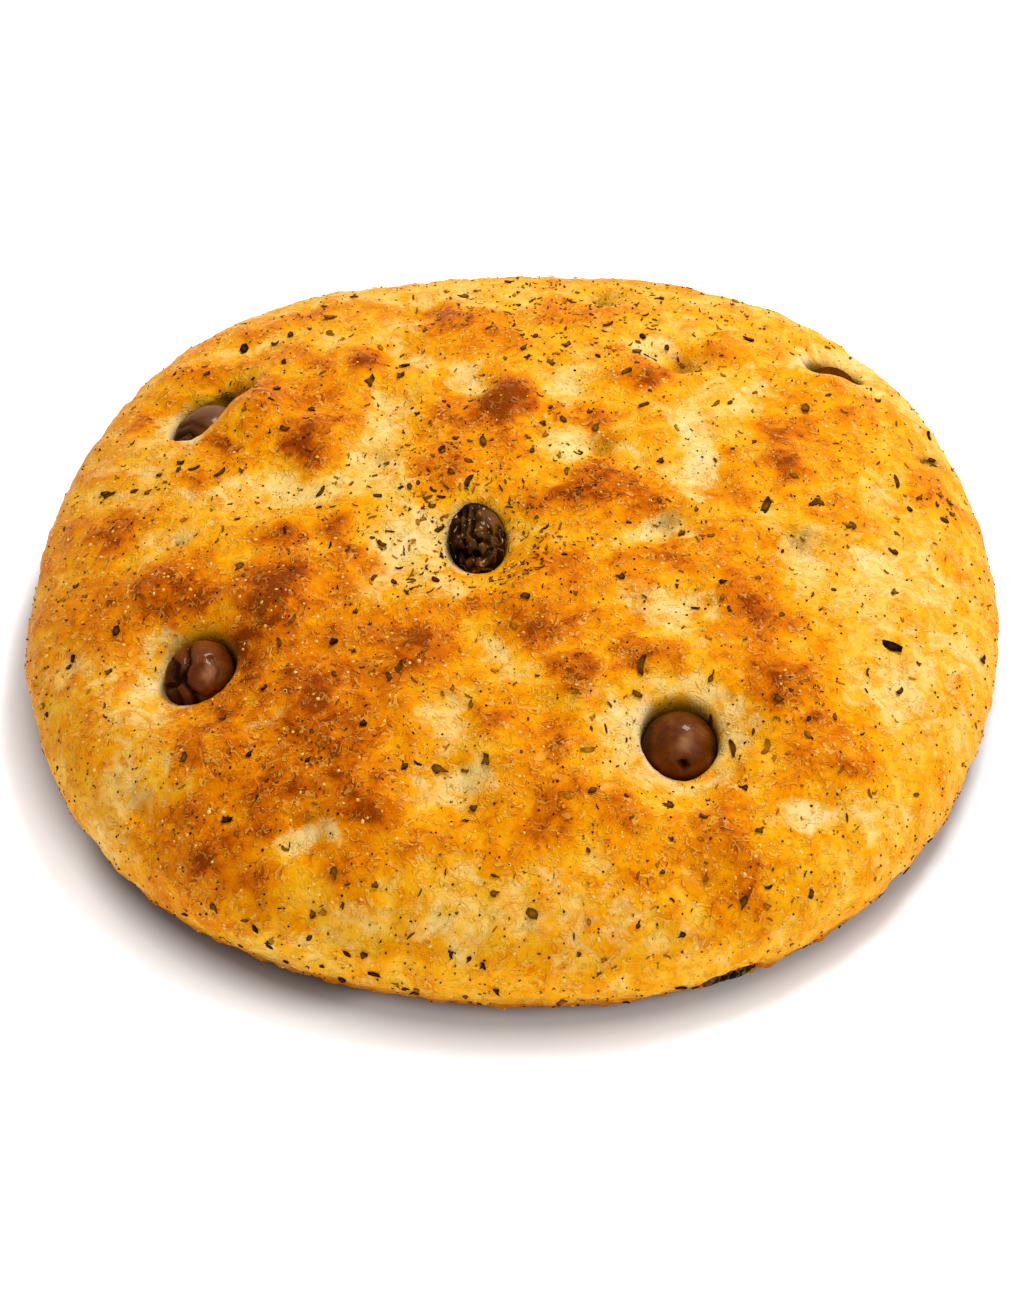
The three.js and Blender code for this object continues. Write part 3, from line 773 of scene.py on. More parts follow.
def crustMaterial():
    material, shader, spot = newMaterial("bakedCrust", crust["shader"])
    wires = {name: spot.mark(name) for name in (
        "toast", "pale", "lip", "low", "raised", "blistered", "pit", "wall", "rim")}
    for name, (width, detail, rough, twist) in crust["noises"].items():
        wires[name] = spot.noise(width * mm, detail, rough, twist) - 0.5
    toast, blotch, milk, grain, pit = [wires[name] for name in ("toast", "blotch", "milk", "grain", "pit")]
    swirl = spot.noise(3.6 * mm, 1, 0.5, 1.8) * 3.0
    broken = spot.noise(2.3 * mm, 1, 0.5)
    curl = (0.19 - abs(swirl.fract() - 0.5)).above(0.0, 0.12) * broken.above(0.46, 0.56)
    # a darker line beside each crinkle: painted shade of its raised edge, and a real dip in the bump
    groove = (0.17 - abs((swirl + 0.27).fract() - 0.5)).above(0.0, 0.12) * broken.above(0.40, 0.56)
    streak = spot.stretched((0.4, 0.4, 1.6)).noise(4 * mm, 3, 0.6)
    vein = (1 - abs(spot.noise(12 * mm, 2, 0.6, 1.0) - 0.5) * 48).above(0.1, 1)
    vein = vein * spot.noise(24 * mm, 1).above(0.5, 0.62)
    chosen = spot.cells(2.7 * mm, "Color").part(0).above(0.6, 0.62)
    pores = (0.17 - spot.cells(2.7 * mm)).above(0, 0.08) * chosen
    # painted shade: the left end of the loaf browns darker
    leftEnd = 1 - spot.part(0).above(-110 * mm, -50 * mm)
    wires.update({"curl": curl, "groove": groove, "toastBlotch": blotch * toast, "leftEnd": leftEnd})
    tone = summed(crust["plainTone"], wires, crust["brown"])
    cream = summed(crust["plainCream"], wires, crust["cream"])
    layers = [  # what lies over the browned skin: screen colour, and where and how thick
        ((255, 216, 130), cream.above(0.28, 0.85) * 0.85),
        ((255, 234, 182), cream.above(0.72, 1.2) * 0.6),
        ((255, 200, 84), (curl + vein * 0.8).above(0, 1) * (0.46 - toast * 0.3)),
        ((196, 104, 10), (wires["rim"] * (0.62 + (streak - 0.5) * 2)).above(0.05, 0.62) * 0.9),
        ((250, 220, 160), (wires["lip"] + milk * 1.2).above(0.3, 1.1) * 0.75),
        # painted shade in the craters, darkest in their holes
        ((134, 96, 32), (pit + milk * 0.8 + grain * 0.9).above(0.15, 1.0) * 0.75),
        ((70, 42, 6), (pit + grain * 0.5).above(0.7, 1.1) * 0.8),
        # painted shade on the wells' far walls
        ((150, 106, 20), wires["wall"] * 0.7),
        ((60, 28, 4), pores * 0.7),
    ]
    skin = tone.ramp(bakedRamp(crust["ramp"]))
    for colour, cover in layers:
        skin = skin.over(baked(*colour), cover)
    feed(shader, {
        "Base Color": skin,
        "Roughness": 0.55 + grain * 0.3,
        "Coat Weight": curl * 0.05,
        "Normal": summed(0.0, wires, crust["height"]).bump(0.9 * mm, 0.75),
    })
    return material


markCrust(body)
finish(body, "bread", crustMaterial())
print("stage: crust coloured")


# The olives

creases = {  # routes as the camera sees them, across and up from -1 to 1; width, depth in mm
    "olive_middle": [
        ([(-0.62, 0.8), (-0.66, 0.35), (-0.72, -0.05)], 1.1, 0.9),
        ([(-0.4, 0.85), (-0.42, 0.4), (-0.5, 0.05)], 1.2, 1.1),
        ([(-0.12, 0.8), (-0.14, 0.42), (-0.2, 0.15)], 1.2, 1.1),
        ([(-0.2, 0.15), (0.05, 0.0), (0.0, -0.35)], 1.3, 1.2),
        ([(0.05, 0.0), (0.4, -0.05), (0.62, -0.3)], 1.2, 1.0),
        ([(0.0, -0.35), (0.3, -0.5), (0.45, -0.25)], 1.1, 0.8),
        ([(0.0, -0.35), (-0.35, -0.45), (-0.75, -0.2)], 1.3, 1.1),
        ([(-0.5, 0.05), (-0.45, -0.3), (-0.5, -0.7)], 1.1, 0.9),
        ([(0.35, 0.55), (0.5, 0.2), (0.75, 0.1)], 0.9, 0.5),
        ([(0.8, 0.3), (0.82, -0.2), (0.7, -0.55)], 1.1, 0.9),
        ([(-0.1, -0.5), (-0.15, -0.75), (0.2, -0.82), (0.5, -0.7)], 1.0, 0.8),
        ([(-0.75, -0.2), (-0.7, -0.6)], 1.0, 0.8),
    ],
    "olive_left": [
        ([(-0.32, 0.8), (-0.26, 0.36), (-0.41, 0.03), (-0.67, -0.26), (-0.9, -0.3)], 1.4, 1.3),
        ([(-0.41, 0.03), (-0.35, -0.25), (-0.1, -0.5), (0.0, -0.9)], 1.3, 1.1),
        ([(-0.1, -0.5), (0.3, -0.6), (0.5, -0.45)], 1.0, 0.45),
        ([(-0.8, 0.5), (-0.58, 0.3), (-0.66, -0.1)], 1.1, 0.8),
        ([(-0.6, -0.45), (-0.45, -0.8)], 1.0, 0.6), ([(0.35, 0.5), (0.6, 0.2), (0.55, -0.1)], 0.9, 0.3),
        ([(0.1, 0.3), (0.25, 0.05)], 0.9, 0.25), ([(-0.68, 0.2), (-0.62, -0.1)], 3.4, 0.8),
        ([(-0.42, -0.6), (-0.3, -0.62)], 3.0, 0.3),
    ],
    "olive_front": [
        ([(0.1, -0.37), (0.12, -0.37)], 1.8, 2.6), ([(0.11, -0.37), (0.0, -0.3)], 0.8, 0.35),
        ([(0.11, -0.37), (0.25, -0.42)], 0.8, 0.3), ([(0.11, -0.37), (0.1, -0.55)], 0.8, 0.3),
    ],
    "olive_far_left": [
        ([(-0.75, 0.3), (-0.45, 0.45), (-0.1, 0.3)], 1.8, 0.6),
        ([(-0.8, 0.0), (-0.5, 0.15), (-0.3, -0.1)], 1.8, 0.8), ([(-0.85, -0.3), (-0.5, -0.25)], 1.8, 0.8),
    ],
    "olive_far_right": [([(-0.3, 0.6), (0.2, 0.5)], 1.5, 0.4)],
}
oliveSkins = {  # wrinkles: width and height in mm; sheens are painted highlights: x, y across and up, reach both ways and amount
    "olive_middle": {
        "name": "wrinkledOliveSkin", "wrinkles": (3.0, 0.8), "shine": 0.3, "gloss": 0.0, "net": 1,
        "dark": (22, 9, 0), "mid": (50, 25, 1), "warm": (112, 68, 16), "bloom": (112, 76, 46),
        "paintedSheens": [(0.5, 0.62, 0.45, 0.32, 0.6)],
    },
    "olive_left": {
        "name": "reddishOliveSkin", "wrinkles": (4.0, 0.5), "shine": 0.3, "gloss": 0.05, "net": 0,
        "dark": (44, 13, 0), "mid": (92, 40, 4), "warm": (130, 62, 14), "bloom": (184, 122, 88),
        "paintedSheens": [(0.32, 0.14, 0.3, 0.38, 0.6), (0.1, 0.6, 0.5, 0.3, 0.15)],
    },
    "olive_front": {
        "name": "brownOliveSkin", "wrinkles": (7, 0.2), "shine": 0.3, "gloss": 0.05, "net": 0,
        "dark": (32, 9, 0), "mid": (78, 33, 0), "warm": (118, 56, 2), "bloom": (180, 122, 82),
        "paintedSheens": [(0.13, 0.2, 0.24, 0.32, 0.8), (0.0, 0.5, 0.65, 0.4, 0.22)],
    },
    "olive_far_left": {
        "name": "mauveOliveSkin", "wrinkles": (5.5, 0.35), "shine": 0.3, "gloss": 0.05, "net": 0,
        "dark": (32, 12, 0), "mid": (84, 44, 10), "warm": (118, 72, 26), "bloom": (160, 116, 96),
        "paintedSheens": [(0.3, 0.75, 0.6, 0.35, 0.6)],
    },
    "olive_far_right": {
        "name": "sunkOliveSkin", "wrinkles": (5.5, 0.3), "shine": 0.0, "gloss": 0.0, "net": 0,
        "dark": (20, 6, 0), "mid": (66, 28, 2), "warm": (110, 54, 10), "bloom": (122, 66, 26),
        "paintedSheens": [(0.0, 0.8, 0.4, 0.2, 0.1)],
    },
}
fruitForm = {  # half a crease's width in half sizes, fold depths in mm, start and end of the painted shade towards the rim the camera sees
    "crease": 0.035, "foldStart": -0.25, "foldRange": 1.3, "edge": (0.55, 1.0), "lowerEdge": 0.6,
}


def nearRoute(across, up, route):  # distance from each point to a route of straight runs
    gap = np.full(len(across), np.inf)
    for (ax, ay), (bx, by) in zip(route, route[1:]):
        run = (bx - ax) ** 2 + (by - ay) ** 2
        part = np.clip(((across - ax) * (bx - ax) + (up - ay) * (by - ay)) / run, 0, 1)
        gap = np.minimum(gap, np.hypot(across - ax - part * (bx - ax), up - ay - part * (by - ay)))
    return gap


def makeOlive(node, olive, look):
    words = node.split("_")
    name = words[0] + "".join(word.capitalize() for word in words[1:])
    fruit = add(bpy.ops.mesh.primitive_ico_sphere_add, name, subdivisions=6, radius=mm)
    co = points(fruit) * olive["half"]
    y, z = turned(co[:, 1], co[:, 2], math.radians(olive["lift"]))
    x, y = turned(co[:, 0], y, math.radians(olive["turn"]))
    egg = np.stack([x, y, z], axis=1)
    across, up = x / x.max(), egg @ upInView
    up = up / up.max()
    seen = egg @ towardsCamera > 0
    egg = egg + np.array(place(*olive["at"]))
    setPoints(fruit, egg)
    roughen(fruit, name + "Wrinkle", *look["wrinkles"])
    for route, width, depth in creases[node]:
        editChosen(fruit, (nearRoute(across, up, route) < fruitForm["crease"]) & seen)
        pull(bpy.ops.transform.shrink_fatten, -depth * mm, 'SHARP', width)
    applyModifier(fruit, 'SMOOTH', factor=0.5, iterations=1)
    # how far each point sank into a fold; the material paints shade there
    inward = np.einsum('ij,ij->i', egg - points(fruit), readAll(fruit.data.vertices, "normal")) / mm
    # painted highlights: lighter patches on the side the camera sees, where the lamps would shine
    lit = [amount * np.exp(-((across - x) / wide) ** 2 - ((up - y) / tall) ** 2)
           for x, y, wide, tall, amount in look["paintedSheens"]]
    # painted shade: the skin darkens towards its rim as the camera sees it, sooner at the bottom, and fully
    # on the side turned away
    fromMiddle = np.hypot(across, np.minimum(up, up * fruitForm["lowerEdge"]))
    setMarks(fruit, {
        "fold": np.clip((inward - fruitForm["foldStart"]) / fruitForm["foldRange"], 0, 1),
        "edge": np.where(seen, smoothStep(fromMiddle, *fruitForm["edge"]), 1),
        "sheen": np.max(lit, axis=0) * seen,
    })
    return fruit


def oliveMaterial(look):
    material, shader, spot = newMaterial(look["name"], {
        "Specular IOR Level": look["gloss"], "Specular Tint": (1.0, 0.68, 0.36, 1.0), "Coat IOR": 1.4,
        "Coat Roughness": 0.1,
    })
    fold, edge, sheen = [spot.mark(name) for name in ("fold", "edge", "sheen")]
    cloud = spot.noise(6 * mm, 3, 0.55, 0.4)
    fine = spot.noise(0.9 * mm, 2, 0.6)
    crinkle = abs(spot.noise(2.6 * mm, 3, 0.55, 0.5) - 0.5) * 4
    # painted shade: darker in the folds and towards the seen rim
    tone = 0.86 - fold * 0.8 - edge * 0.4 + (cloud - 0.5) * 1.1 + (fine - 0.5) * 0.2
    skin = tone.ramp(bakedRamp([(0.1, look["dark"]), (0.5, look["mid"]), (0.95, look["warm"])]))
    ridge = (0.18 - spot.warped(3 * mm, 3 * mm).edges(3.4 * mm)).above(0, 0.17) * (1 - sheen) * look["net"]
    # painted glints: small light strokes along the ridges
    paintedGlint = spot.noise(1.9 * mm, 2, 0.6, 0.6).above(0.6, 0.68) * ridge.above(0.3, 0.8)
    layers = [
        # the bloom colour lies where the noise gives natural bloom and over the painted highlights
        (look["bloom"], (sheen + (cloud - 0.5) * 0.9).above(0.05, 0.9) * (1 - fold)),
        ((128, 78, 22), ridge * cloud.above(0.46, 0.6) * 0.7),
        ((206, 164, 116), paintedGlint * 0.9),
    ]
    for colour, cover in layers:
        skin = skin.over(baked(*colour), cover)
    feed(shader, {
        "Base Color": skin,
        "Roughness": 0.26 + (fine - 0.5) * 0.12 + fold * 0.3,
        "Coat Weight": (1 - fold * 0.9) * (1 - edge * 0.85) * look["shine"],
        "Normal": (fine * 0.25 + cloud * 0.5 + crinkle * 0.35 + ridge * 0.9).bump(0.5 * mm, 0.6),
    })
    return material


for node, olive in olives.items():
    look = oliveSkins[node]
    finish(makeOlive(node, olive, look), node, oliveMaterial(look))
print("stage: olives")


def charredMaterial():
    material, shader, spot = newMaterial("charredLeafSkin", {"Specular IOR Level": 0.06})
    cloud = spot.noise(2 * mm, 3, 0.6)
    ridge = spot.warped(2 * mm, 2 * mm).edges(2.6 * mm)
    cellHighlight = (0.12 - ridge).above(0, 0.1)
    green = 1 - spot.part(0).above(46 * mm, 49 * mm)  # the end that is less burnt
    skin = cloud.ramp(bakedRamp([(0.3, (4, 2, 0)), (0.7, (26, 16, 6))]))
    skin = skin.over(cloud.ramp(bakedRamp([(0.3, (30, 18, 6)), (0.7, (86, 66, 30))])), green)
    # painted highlights: lighter brown lines along the cell edges
    skin = skin.over(baked(128, 92, 52), cellHighlight * (cloud - 0.34).above(0, 0.3))
    height = cloud + ridge * 1.5
    feed(shader, {"Base Color": skin, "Roughness": 0.6 + cloud * 0.2, "Normal": height.bump(0.8 * mm, 1.0)})
    return material


rimLeaf = leafSlab("charredRimLeaf", leaf["length"], leaf["width"], 0, -leaf["thickness"])
finish(rimLeaf, "charred_leaf", charredMaterial())
print("stage: rim leaf")


# Herbs, specks and semolina on the crust

largeFlakes = [  # x, y, length, width in mm, turn in degrees, shade from black 0 to tan 1
    (92, -36, 5.6, 2.8, -22, 0.02), (-68, -89, 3.2, 2.2, 40, 0.1), (-44, -42, 4.2, 2, 35, 0.05),
    (-29, 62, 4.6, 3, 80, 0.35), (-38, 54, 4.6, 2.6, 95, 0.4), (-62, 51, 3.6, 2.2, 10, 0.4),
    (-59, 33, 3.6, 2, 150, 0.4), (62, 75, 3.2, 1.8, 0, 0.3), (-18, -79, 4.5, 2.6, 160, 0.5),
    (29, 55, 4, 2.2, 20, 0.5), (63, 6, 4.6, 1.8, 60, 0.45), (-42, -104, 3.6, 2, 100, 0.5),
    (53, -109, 4, 2, 70, 0.35), (-36, -67, 3.2, 2.2, 0, 0.15), (18, -87, 3.4, 2.2, 30, 0.45),
    (77, 10, 3.2, 2, 130, 0.5), (36, -87, 3, 2, 0, 0.4), (-26, -79, 2.8, 2.4, 45, 0.35),
    (-98, -30, 3, 2, 90, 0.3),
]
smallFlakes = [  # x, y, length in mm, shade
    (-30, 56, 2.6, 0.4), (-109, -33, 2.8, 0.1), (-91, 24, 2.4, 0.3), (-86, 24, 2.6, 0.3),
    (-60, 80, 2.6, 0.4), (22, 64, 2.8, 0.2), (13, 15, 3.2, 0.7), (16, 6, 2.8, 0.55), (71, 18, 3, 0.7),
    (-63, -73, 2.6, 0.1), (-60, -55, 2.4, 0.2), (-49, -76, 2.2, 0.1), (-47, -111, 2.8, 0.45),
    (44, -91, 2.8, 0.4), (57, -94, 3, 0.4), (69, -104, 3, 0.35), (34, -105, 2.4, 0.4), (4, -115, 3.2, 0.6),
    (51, -23, 2.4, 0.15), (26, -21, 2.6, 0.3), (29, -57, 2.8, 0.55), (47, -52, 2.6, 0.5),
    (47, -61, 3, 0.45), (44, -62, 2, 0.05), (95, -3, 3, 0.3), (84, 1, 2.8, 0.6), (94, -18, 2.8, 0.6),
    (116, -29, 2.6, 0.2), (-105, 22, 3, 0.4), (-12, 19, 3.2, 0.5), (-16, 14, 2.8, 0.4), (109, 51, 3.4, 0.1),
    (103.7, 20, 2.8, 0.45), (109.5, 24, 3, 0.7), (108.2, 19.2, 2.6, 0.35), (111.8, 22.8, 2.8, 0.6),
    (112.1, 17.7, 2.8, 0.6), (100.8, 16, 2.4, 0.3),
]
bentSlivers = [  # x, y, length in mm, turn in degrees, shade
    (63, 6, 7, 70, 0.35), (76, 10, 6, 60, 0.4), (98, 24, 4.5, 100, 0.4), (-104, 21, 4, 20, 0.4),
    (-28, -52, 5, 60, 0.5), (-30, -54, 3.5, 100, 0.45), (30, -50, 6, 80, 0.45), (33, 43, 4, 40, 0.4),
    (-57, -41, 3.6, 100, 0.5), (-54, -35, 3.4, 60, 0.6), (-49, 11, 4, 60, 0.4), (-12, 12, 5, 70, 0.3),
    (52, -68, 5, 100, 0.45), (47, -60, 4.5, 80, 0.4), (17, -75, 4, 10, 0.9), (-75, 21, 4, 40, 0.4),
    (60, -70, 5, 70, 0.9), (-82, 24, 3.5, 10, 0.3), (-64, 77, 3.4, 150, 0.4), (25, 79, 3.5, 30, 0.4),
    (-35, -20, 3.5, 70, 0.5), (85, 1, 4, 100, 0.55),
]
footFlakes = [  # bearing in degrees, height and length in mm, shade
    (-128, 11, 2.2, 0.1), (-124, 19, 3, 0.45), (-121, 9, 2, 0.1), (-118.9, 18, 3.2, 0.1),
    (-117.2, 13, 3.4, 0.1), (-115.6, 8.5, 2.8, 0.1), (-112.7, 19.8, 2.8, 0.3), (-111.1, 12.3, 2.2, 0.1),
    (-109, 8.3, 3.4, 0.2), (-108.2, 18.3, 3.2, 0.15), (-106.4, 19.1, 3.2, 0.35), (-105.2, 14, 3.2, 0.15),
    (-102, 9, 2.2, 0.1), (-101, 7, 2.6, 0.3), (-97, 22, 2.6, 0.1), (-95, 21, 2.2, 0.1),
    (-93.5, 20, 2.6, 0.1), (-92, 13, 3.2, 0.1), (-94, 6, 2, 0.15), (-85, 8, 3.6, 0.6), (-78, 5, 1.8, 0.2),
    (-72.3, 9, 3.4, 0.1), (-70.2, 5, 3, 0.05), (-57, 6, 2, 0.3), (-52, 5, 2, 0.15), (-46, 7, 2.2, 0.2),
    (-41, 6, 3, 0.2), (-36, 7, 2.2, 0.1),
]
herbs = {  # lengths in mm; chips as corners and curl, slivers as bend
    "strewSeed": 20417, "strewn": 46, "strewnLength": (2.2, 3.6), "apart": 7,
    "sowSeed": 613, "crumbs": 1600, "crumbLength": (0.7, 2.6),
    "chips": [(6, 0.1), (7, 0.16), (8, 0.06), (9, 0.2), (7, -0.08), (8, 0.12)], "chipThickness": 0.14,
    "slivers": [0.9, 1.8, 2.8, -1.4, 0.4, -2.2], "sliverThickness": 0.12, "chipSeed": 40, "sliverSeed": 70,
}
flakeWidths = {"small": (0.45, 0.8), "sliver": 0.7, "foot": (0.4, 0.7), "crumb": (0.25, 0.8)}  # in lengths
flakeHeights = {"large": 2.2, "small": 2, "sliver": 1.6, "foot": 1.6, "crumb": 1.3}  # mm for 1 of a shape
specks = {  # size in mm, width, height and lift in shares of it, chance on plain crust and in thick herb
    "herbDots": {
        "seeds": (3, 8, 21, 34), "unevenness": 0.28, "count": 2200, "size": (0.3, 0.8), "width": (0.6, 1),
        "height": 0.7, "lift": 0.1, "shade": (0.0, 0.35), "chance": (0.4, 0.6),
    },
    "semolinaGrains": {
        "seeds": (5, 13), "unevenness": 0.1, "count": 2200, "size": (0.4, 1.3), "width": (0.5, 1),
        "height": 0.5, "lift": -0.08, "shade": (0, 1), "chance": (1, 0),
    },
}
anyTurn = (0, 6.28)


def herbChance(x, y):  # thickest round the middle olive and over the far middle of the loaf
    middle = math.exp(-((x + 8) / 30) ** 2 - ((y - 12) / 26) ** 2)
    far = math.exp(-((x - 20) / 40) ** 2 - ((y - 85) / 18) ** 2)
    return min(0.3 + 0.6 * middle + 0.5 * far, 1)


def crumbChance(x, y):  # herb crumbs gather round the middle olive
    ring = math.exp(-((math.hypot(x + 12, y + 9) - 15) / 7) ** 2)
    return min(0.74 * herbChance(x, y) - 0.135 + 0.95 * ring, 1)


def clearOfOthers(x, y, placed):
    for olive in olives.values():
        if math.hypot(x - olive["at"][0], y - olive["at"][1]) <= olive["half"][1] * 1.5 + 3:
            return False
    return all(math.hypot(x - other[0], y - other[1]) > herbs["apart"] for other in placed)


def strewFlakes():  # the plain flakes lie where the loaf's own solid has them
    draw = Draw(herbs["strewSeed"])
    placed = list(largeFlakes)
    while len(placed) < len(largeFlakes) + herbs["strewn"]:
        x, y = (2 * draw() - 1) * loaf["radius"], (2 * draw() - 1) * loaf["radius"]
        inside = math.hypot(x, y) < 0.9 * outline(math.atan2(y, x))
        if draw() < herbChance(x, y) and inside and clearOfOthers(x, y, placed):
            length = draw(*herbs["strewnLength"])
            width = length * (0.5 + 0.3 * draw())
            placed.append((x, y, length, width, 360 * draw(), 0.15 + 0.6 * ((x * 7.3 + y * 3.1) % 1)))
    return placed


def chipShape(corners, curl, seed):  # a ragged chip: a disc with its corners pulled about, thickened
    draw = Draw(seed)
    chip = add(bpy.ops.mesh.primitive_circle_add, "herbChip", vertices=corners, radius=0.5,
               fill_type='TRIFAN')
    co = points(chip)
    co = co * np.array([draw(0.4, 1.2) for point in co])[:, None]
    co[:, 2] = curl * (np.abs(co[:, 0]) * 2) ** 2 + draw(-0.12, 0.12) * co[:, 1]
    setPoints(chip, co)
    return thicken(chip, herbs["chipThickness"])


def sliverShape(bend, seed):  # a thin bent strip, narrow at both ends
    draw = Draw(seed)
    sliver = add(bpy.ops.mesh.primitive_grid_add, "herbSliver", x_subdivisions=5, y_subdivisions=1, size=1)
    co = points(sliver)
    sweep, side = bend * co[:, 0], co[:, 1] * (1 - (1.8 * co[:, 0]) ** 2 * 0.9) * draw(0.7, 1.1)
    x = np.sin(sweep) / bend - side * np.sin(sweep) * 0.6
    y = (1 - np.cos(sweep)) / bend + side * np.cos(sweep) * 0.6
    setPoints(sliver, np.stack([x, y, draw(0.05, 0.25) * (2 * co[:, 0]) ** 2], axis=1))
    return thicken(sliver, herbs["sliverThickness"])


def thicken(thing, thickness):
    editAll()
    bpy.ops.mesh.extrude_region_move(TRANSFORM_OT_translate={"value": (0, 0, thickness)})
    bpy.ops.mesh.select_all(action='SELECT')
    bpy.ops.mesh.quads_convert_to_tris()
    faceOutwards()
    return takeShape(thing)


def crumbShape(seed, unevenness):
    crumb = add(bpy.ops.mesh.primitive_ico_sphere_add, "crumb", subdivisions=1, radius=0.5)
    editAll()
    bpy.ops.transform.vertex_random(offset=unevenness, seed=seed)
    bpy.ops.object.mode_set(mode='OBJECT')
    return takeShape(crumb)


def takeShape(thing):  # its points, its triangles and how light each point is, as a pattern for copies
    co = points(thing)
    edge = np.hypot(co[:, 0], co[:, 1])
    shape = co, np.array(faceCorners(thing)), 0.3 - 0.55 * edge / edge.max()
    remove(thing)
    return shape


def sow(name, shapes, pieces):  # one mesh of copies, each as laid() describes it
    allPoints, allFaces, shades, count = [], [], [], 0
    for spot, normal, size, turn, shade, kind in pieces:
        co, faces, lighter = shapes[kind]
        side = normal.orthogonal() if abs(normal.x) > 0.95 else Vector((1, 0, 0)) - normal * normal.x
        side.normalize()
        first = side * math.cos(turn) + normal.cross(side) * math.sin(turn)
        second = normal.cross(first)
        allPoints.append((co * size) @ np.array((first, second, normal)) + np.array(spot))
        allFaces.append(faces + count)
        shades.append(shade + lighter)
        count += len(co)
    mesh = bpy.data.meshes.new(name)
    mesh.from_pydata(np.concatenate(allPoints).tolist(), [], np.concatenate(allFaces).tolist())
    joined = bpy.data.objects.new(name, mesh)
    bpy.context.scene.collection.objects.link(joined)
    setMarks(joined, {"shade": np.concatenate(shades)})
    return joined


def laid(surface, size, turn, shade, kind, lift=0.1):  # a copy on the crust: its sides and lift in mm
    spot, normal = surface
    return spot + normal * lift * mm, normal, np.array(size) * mm, turn, shade, kind


def crustSpots(body, count, draw, chance):  # places spread evenly over the crust, kept by chance
    middles = readAll(body.data.polygons, "center")
    facing = readAll(body.data.polygons, "normal")
    areas = readAll(body.data.polygons, "area", 1)
    onTop = (middles[:, 2] > 1.5 * mm) * (facing[:, 2] > -0.7)
    clearOfWells = wellNearness(middles, 1.12, 1.3) < 0.5
    reached = np.cumsum(areas * onTop * clearOfWells)
    spots = []
    while len(spots) < count:
        face = int(np.searchsorted(reached, draw() * reached[-1]))
        x, y = middles[face, :2] / mm - loafShift
        if draw() < chance(x, y):
            spots.append((Vector(middles[face]), Vector(facing[face])))
    return spots


def onCrust(tree, x, y):  # the place under a plan place, and the way it faces
    return tree.ray_cast(place(x, y, 90), Vector((0, 0, -1)))[:2]


def onFoot(tree, bearing, height):  # the place that a level ray from outside meets
    out = np.array((math.cos(math.radians(bearing)), math.sin(math.radians(bearing))))
    return tree.ray_cast(place(*(out * 150), height), Vector((*(-out), 0)))[:2]


def sowFlakes(body, draw):
    tree = BVHTree.FromPolygons(points(body).tolist(), faceCorners(body))
    shapes = [chipShape(*chip, herbs["chipSeed"] + chip[0] * 7 + i) for i, chip in enumerate(herbs["chips"])]
    shapes += [sliverShape(bend, herbs["sliverSeed"] + i) for i, bend in enumerate(herbs["slivers"])]
    anyChip, anySliver, anyShape = (0, 6), (6, 12), (0, 12)
    flakes = []
    for x, y, length, width, turn, shade in strewFlakes():
        size = (length, width, flakeHeights["large"])
        flakes.append(laid(onCrust(tree, x, y), size, math.radians(turn), shade, int(draw(*anyChip)), 0.12))
    for x, y, length, shade in smallFlakes:
        size = (length, length * draw(*flakeWidths["small"]), flakeHeights["small"])
        flakes.append(laid(onCrust(tree, x, y), size, draw(*anyTurn), shade, int(draw(*anyChip))))
    for x, y, length, turn, shade in bentSlivers:
        size = (length, length * flakeWidths["sliver"], flakeHeights["sliver"])
        flakes.append(laid(onCrust(tree, x, y), size, math.radians(turn), shade, int(draw(*anySliver))))
    for bearing, height, length, shade in footFlakes:
        size = (length, length * draw(*flakeWidths["foot"]), flakeHeights["foot"])
        flakes.append(laid(onFoot(tree, bearing, height), size, draw(*anyTurn), shade, int(draw(*anyChip))))
    shortest, longest = herbs["crumbLength"]
    for surface in crustSpots(body, herbs["crumbs"], draw, crumbChance):
        length = shortest + (longest - shortest) * draw() ** 2
        size = (length, length * draw(*flakeWidths["crumb"]), flakeHeights["crumb"])
        flakes.append(laid(surface, size, draw(*anyTurn), draw(0.1, 1.05), int(draw(*anyShape)), 0.06))
    return sow("herbFlakes", shapes, flakes)


def sowSpecks(body, name, draw):
    look = specks[name]
    shapes = [crumbShape(seed, look["unevenness"]) for seed in look["seeds"]]
    plain, thick = look["chance"]
    pieces = []
    for surface in crustSpots(body, look["count"], draw, lambda x, y: plain + thick * herbChance(x, y)):
        size = draw(*look["size"])
        turn = draw(*anyTurn)
        sides = (size, size * draw(*look["width"]), size * look["height"])
        shade = draw(*look["shade"])
        pieces.append(laid(surface, sides, turn, shade, int(draw(0, len(shapes))), look["lift"] * size))
    return sow(name, shapes, pieces)


def herbMaterial():
    material, shader, spot = newMaterial("driedHerb", {
        "Specular IOR Level": 0.03, "Specular Tint": (1.0, 0.8, 0.4, 1.0),
    })
    fine = spot.noise(0.8 * mm, 2, 0.6)
    tone = spot.mark("shade") + (fine - 0.5) * 0.25
    skin = tone.ramp(bakedRamp([
        (0.04, (20, 7, 0)), (0.25, (54, 26, 1)), (0.45, (88, 55, 8)), (0.65, (122, 78, 12)),
        (0.85, (152, 92, 12)), (1.0, (182, 116, 22)),
    ]))
    rough = 0.7 + (fine - 0.5) * 0.3
    feed(shader, {"Base Color": skin, "Roughness": rough, "Normal": fine.bump(0.3 * mm, 0.5)})
    return material


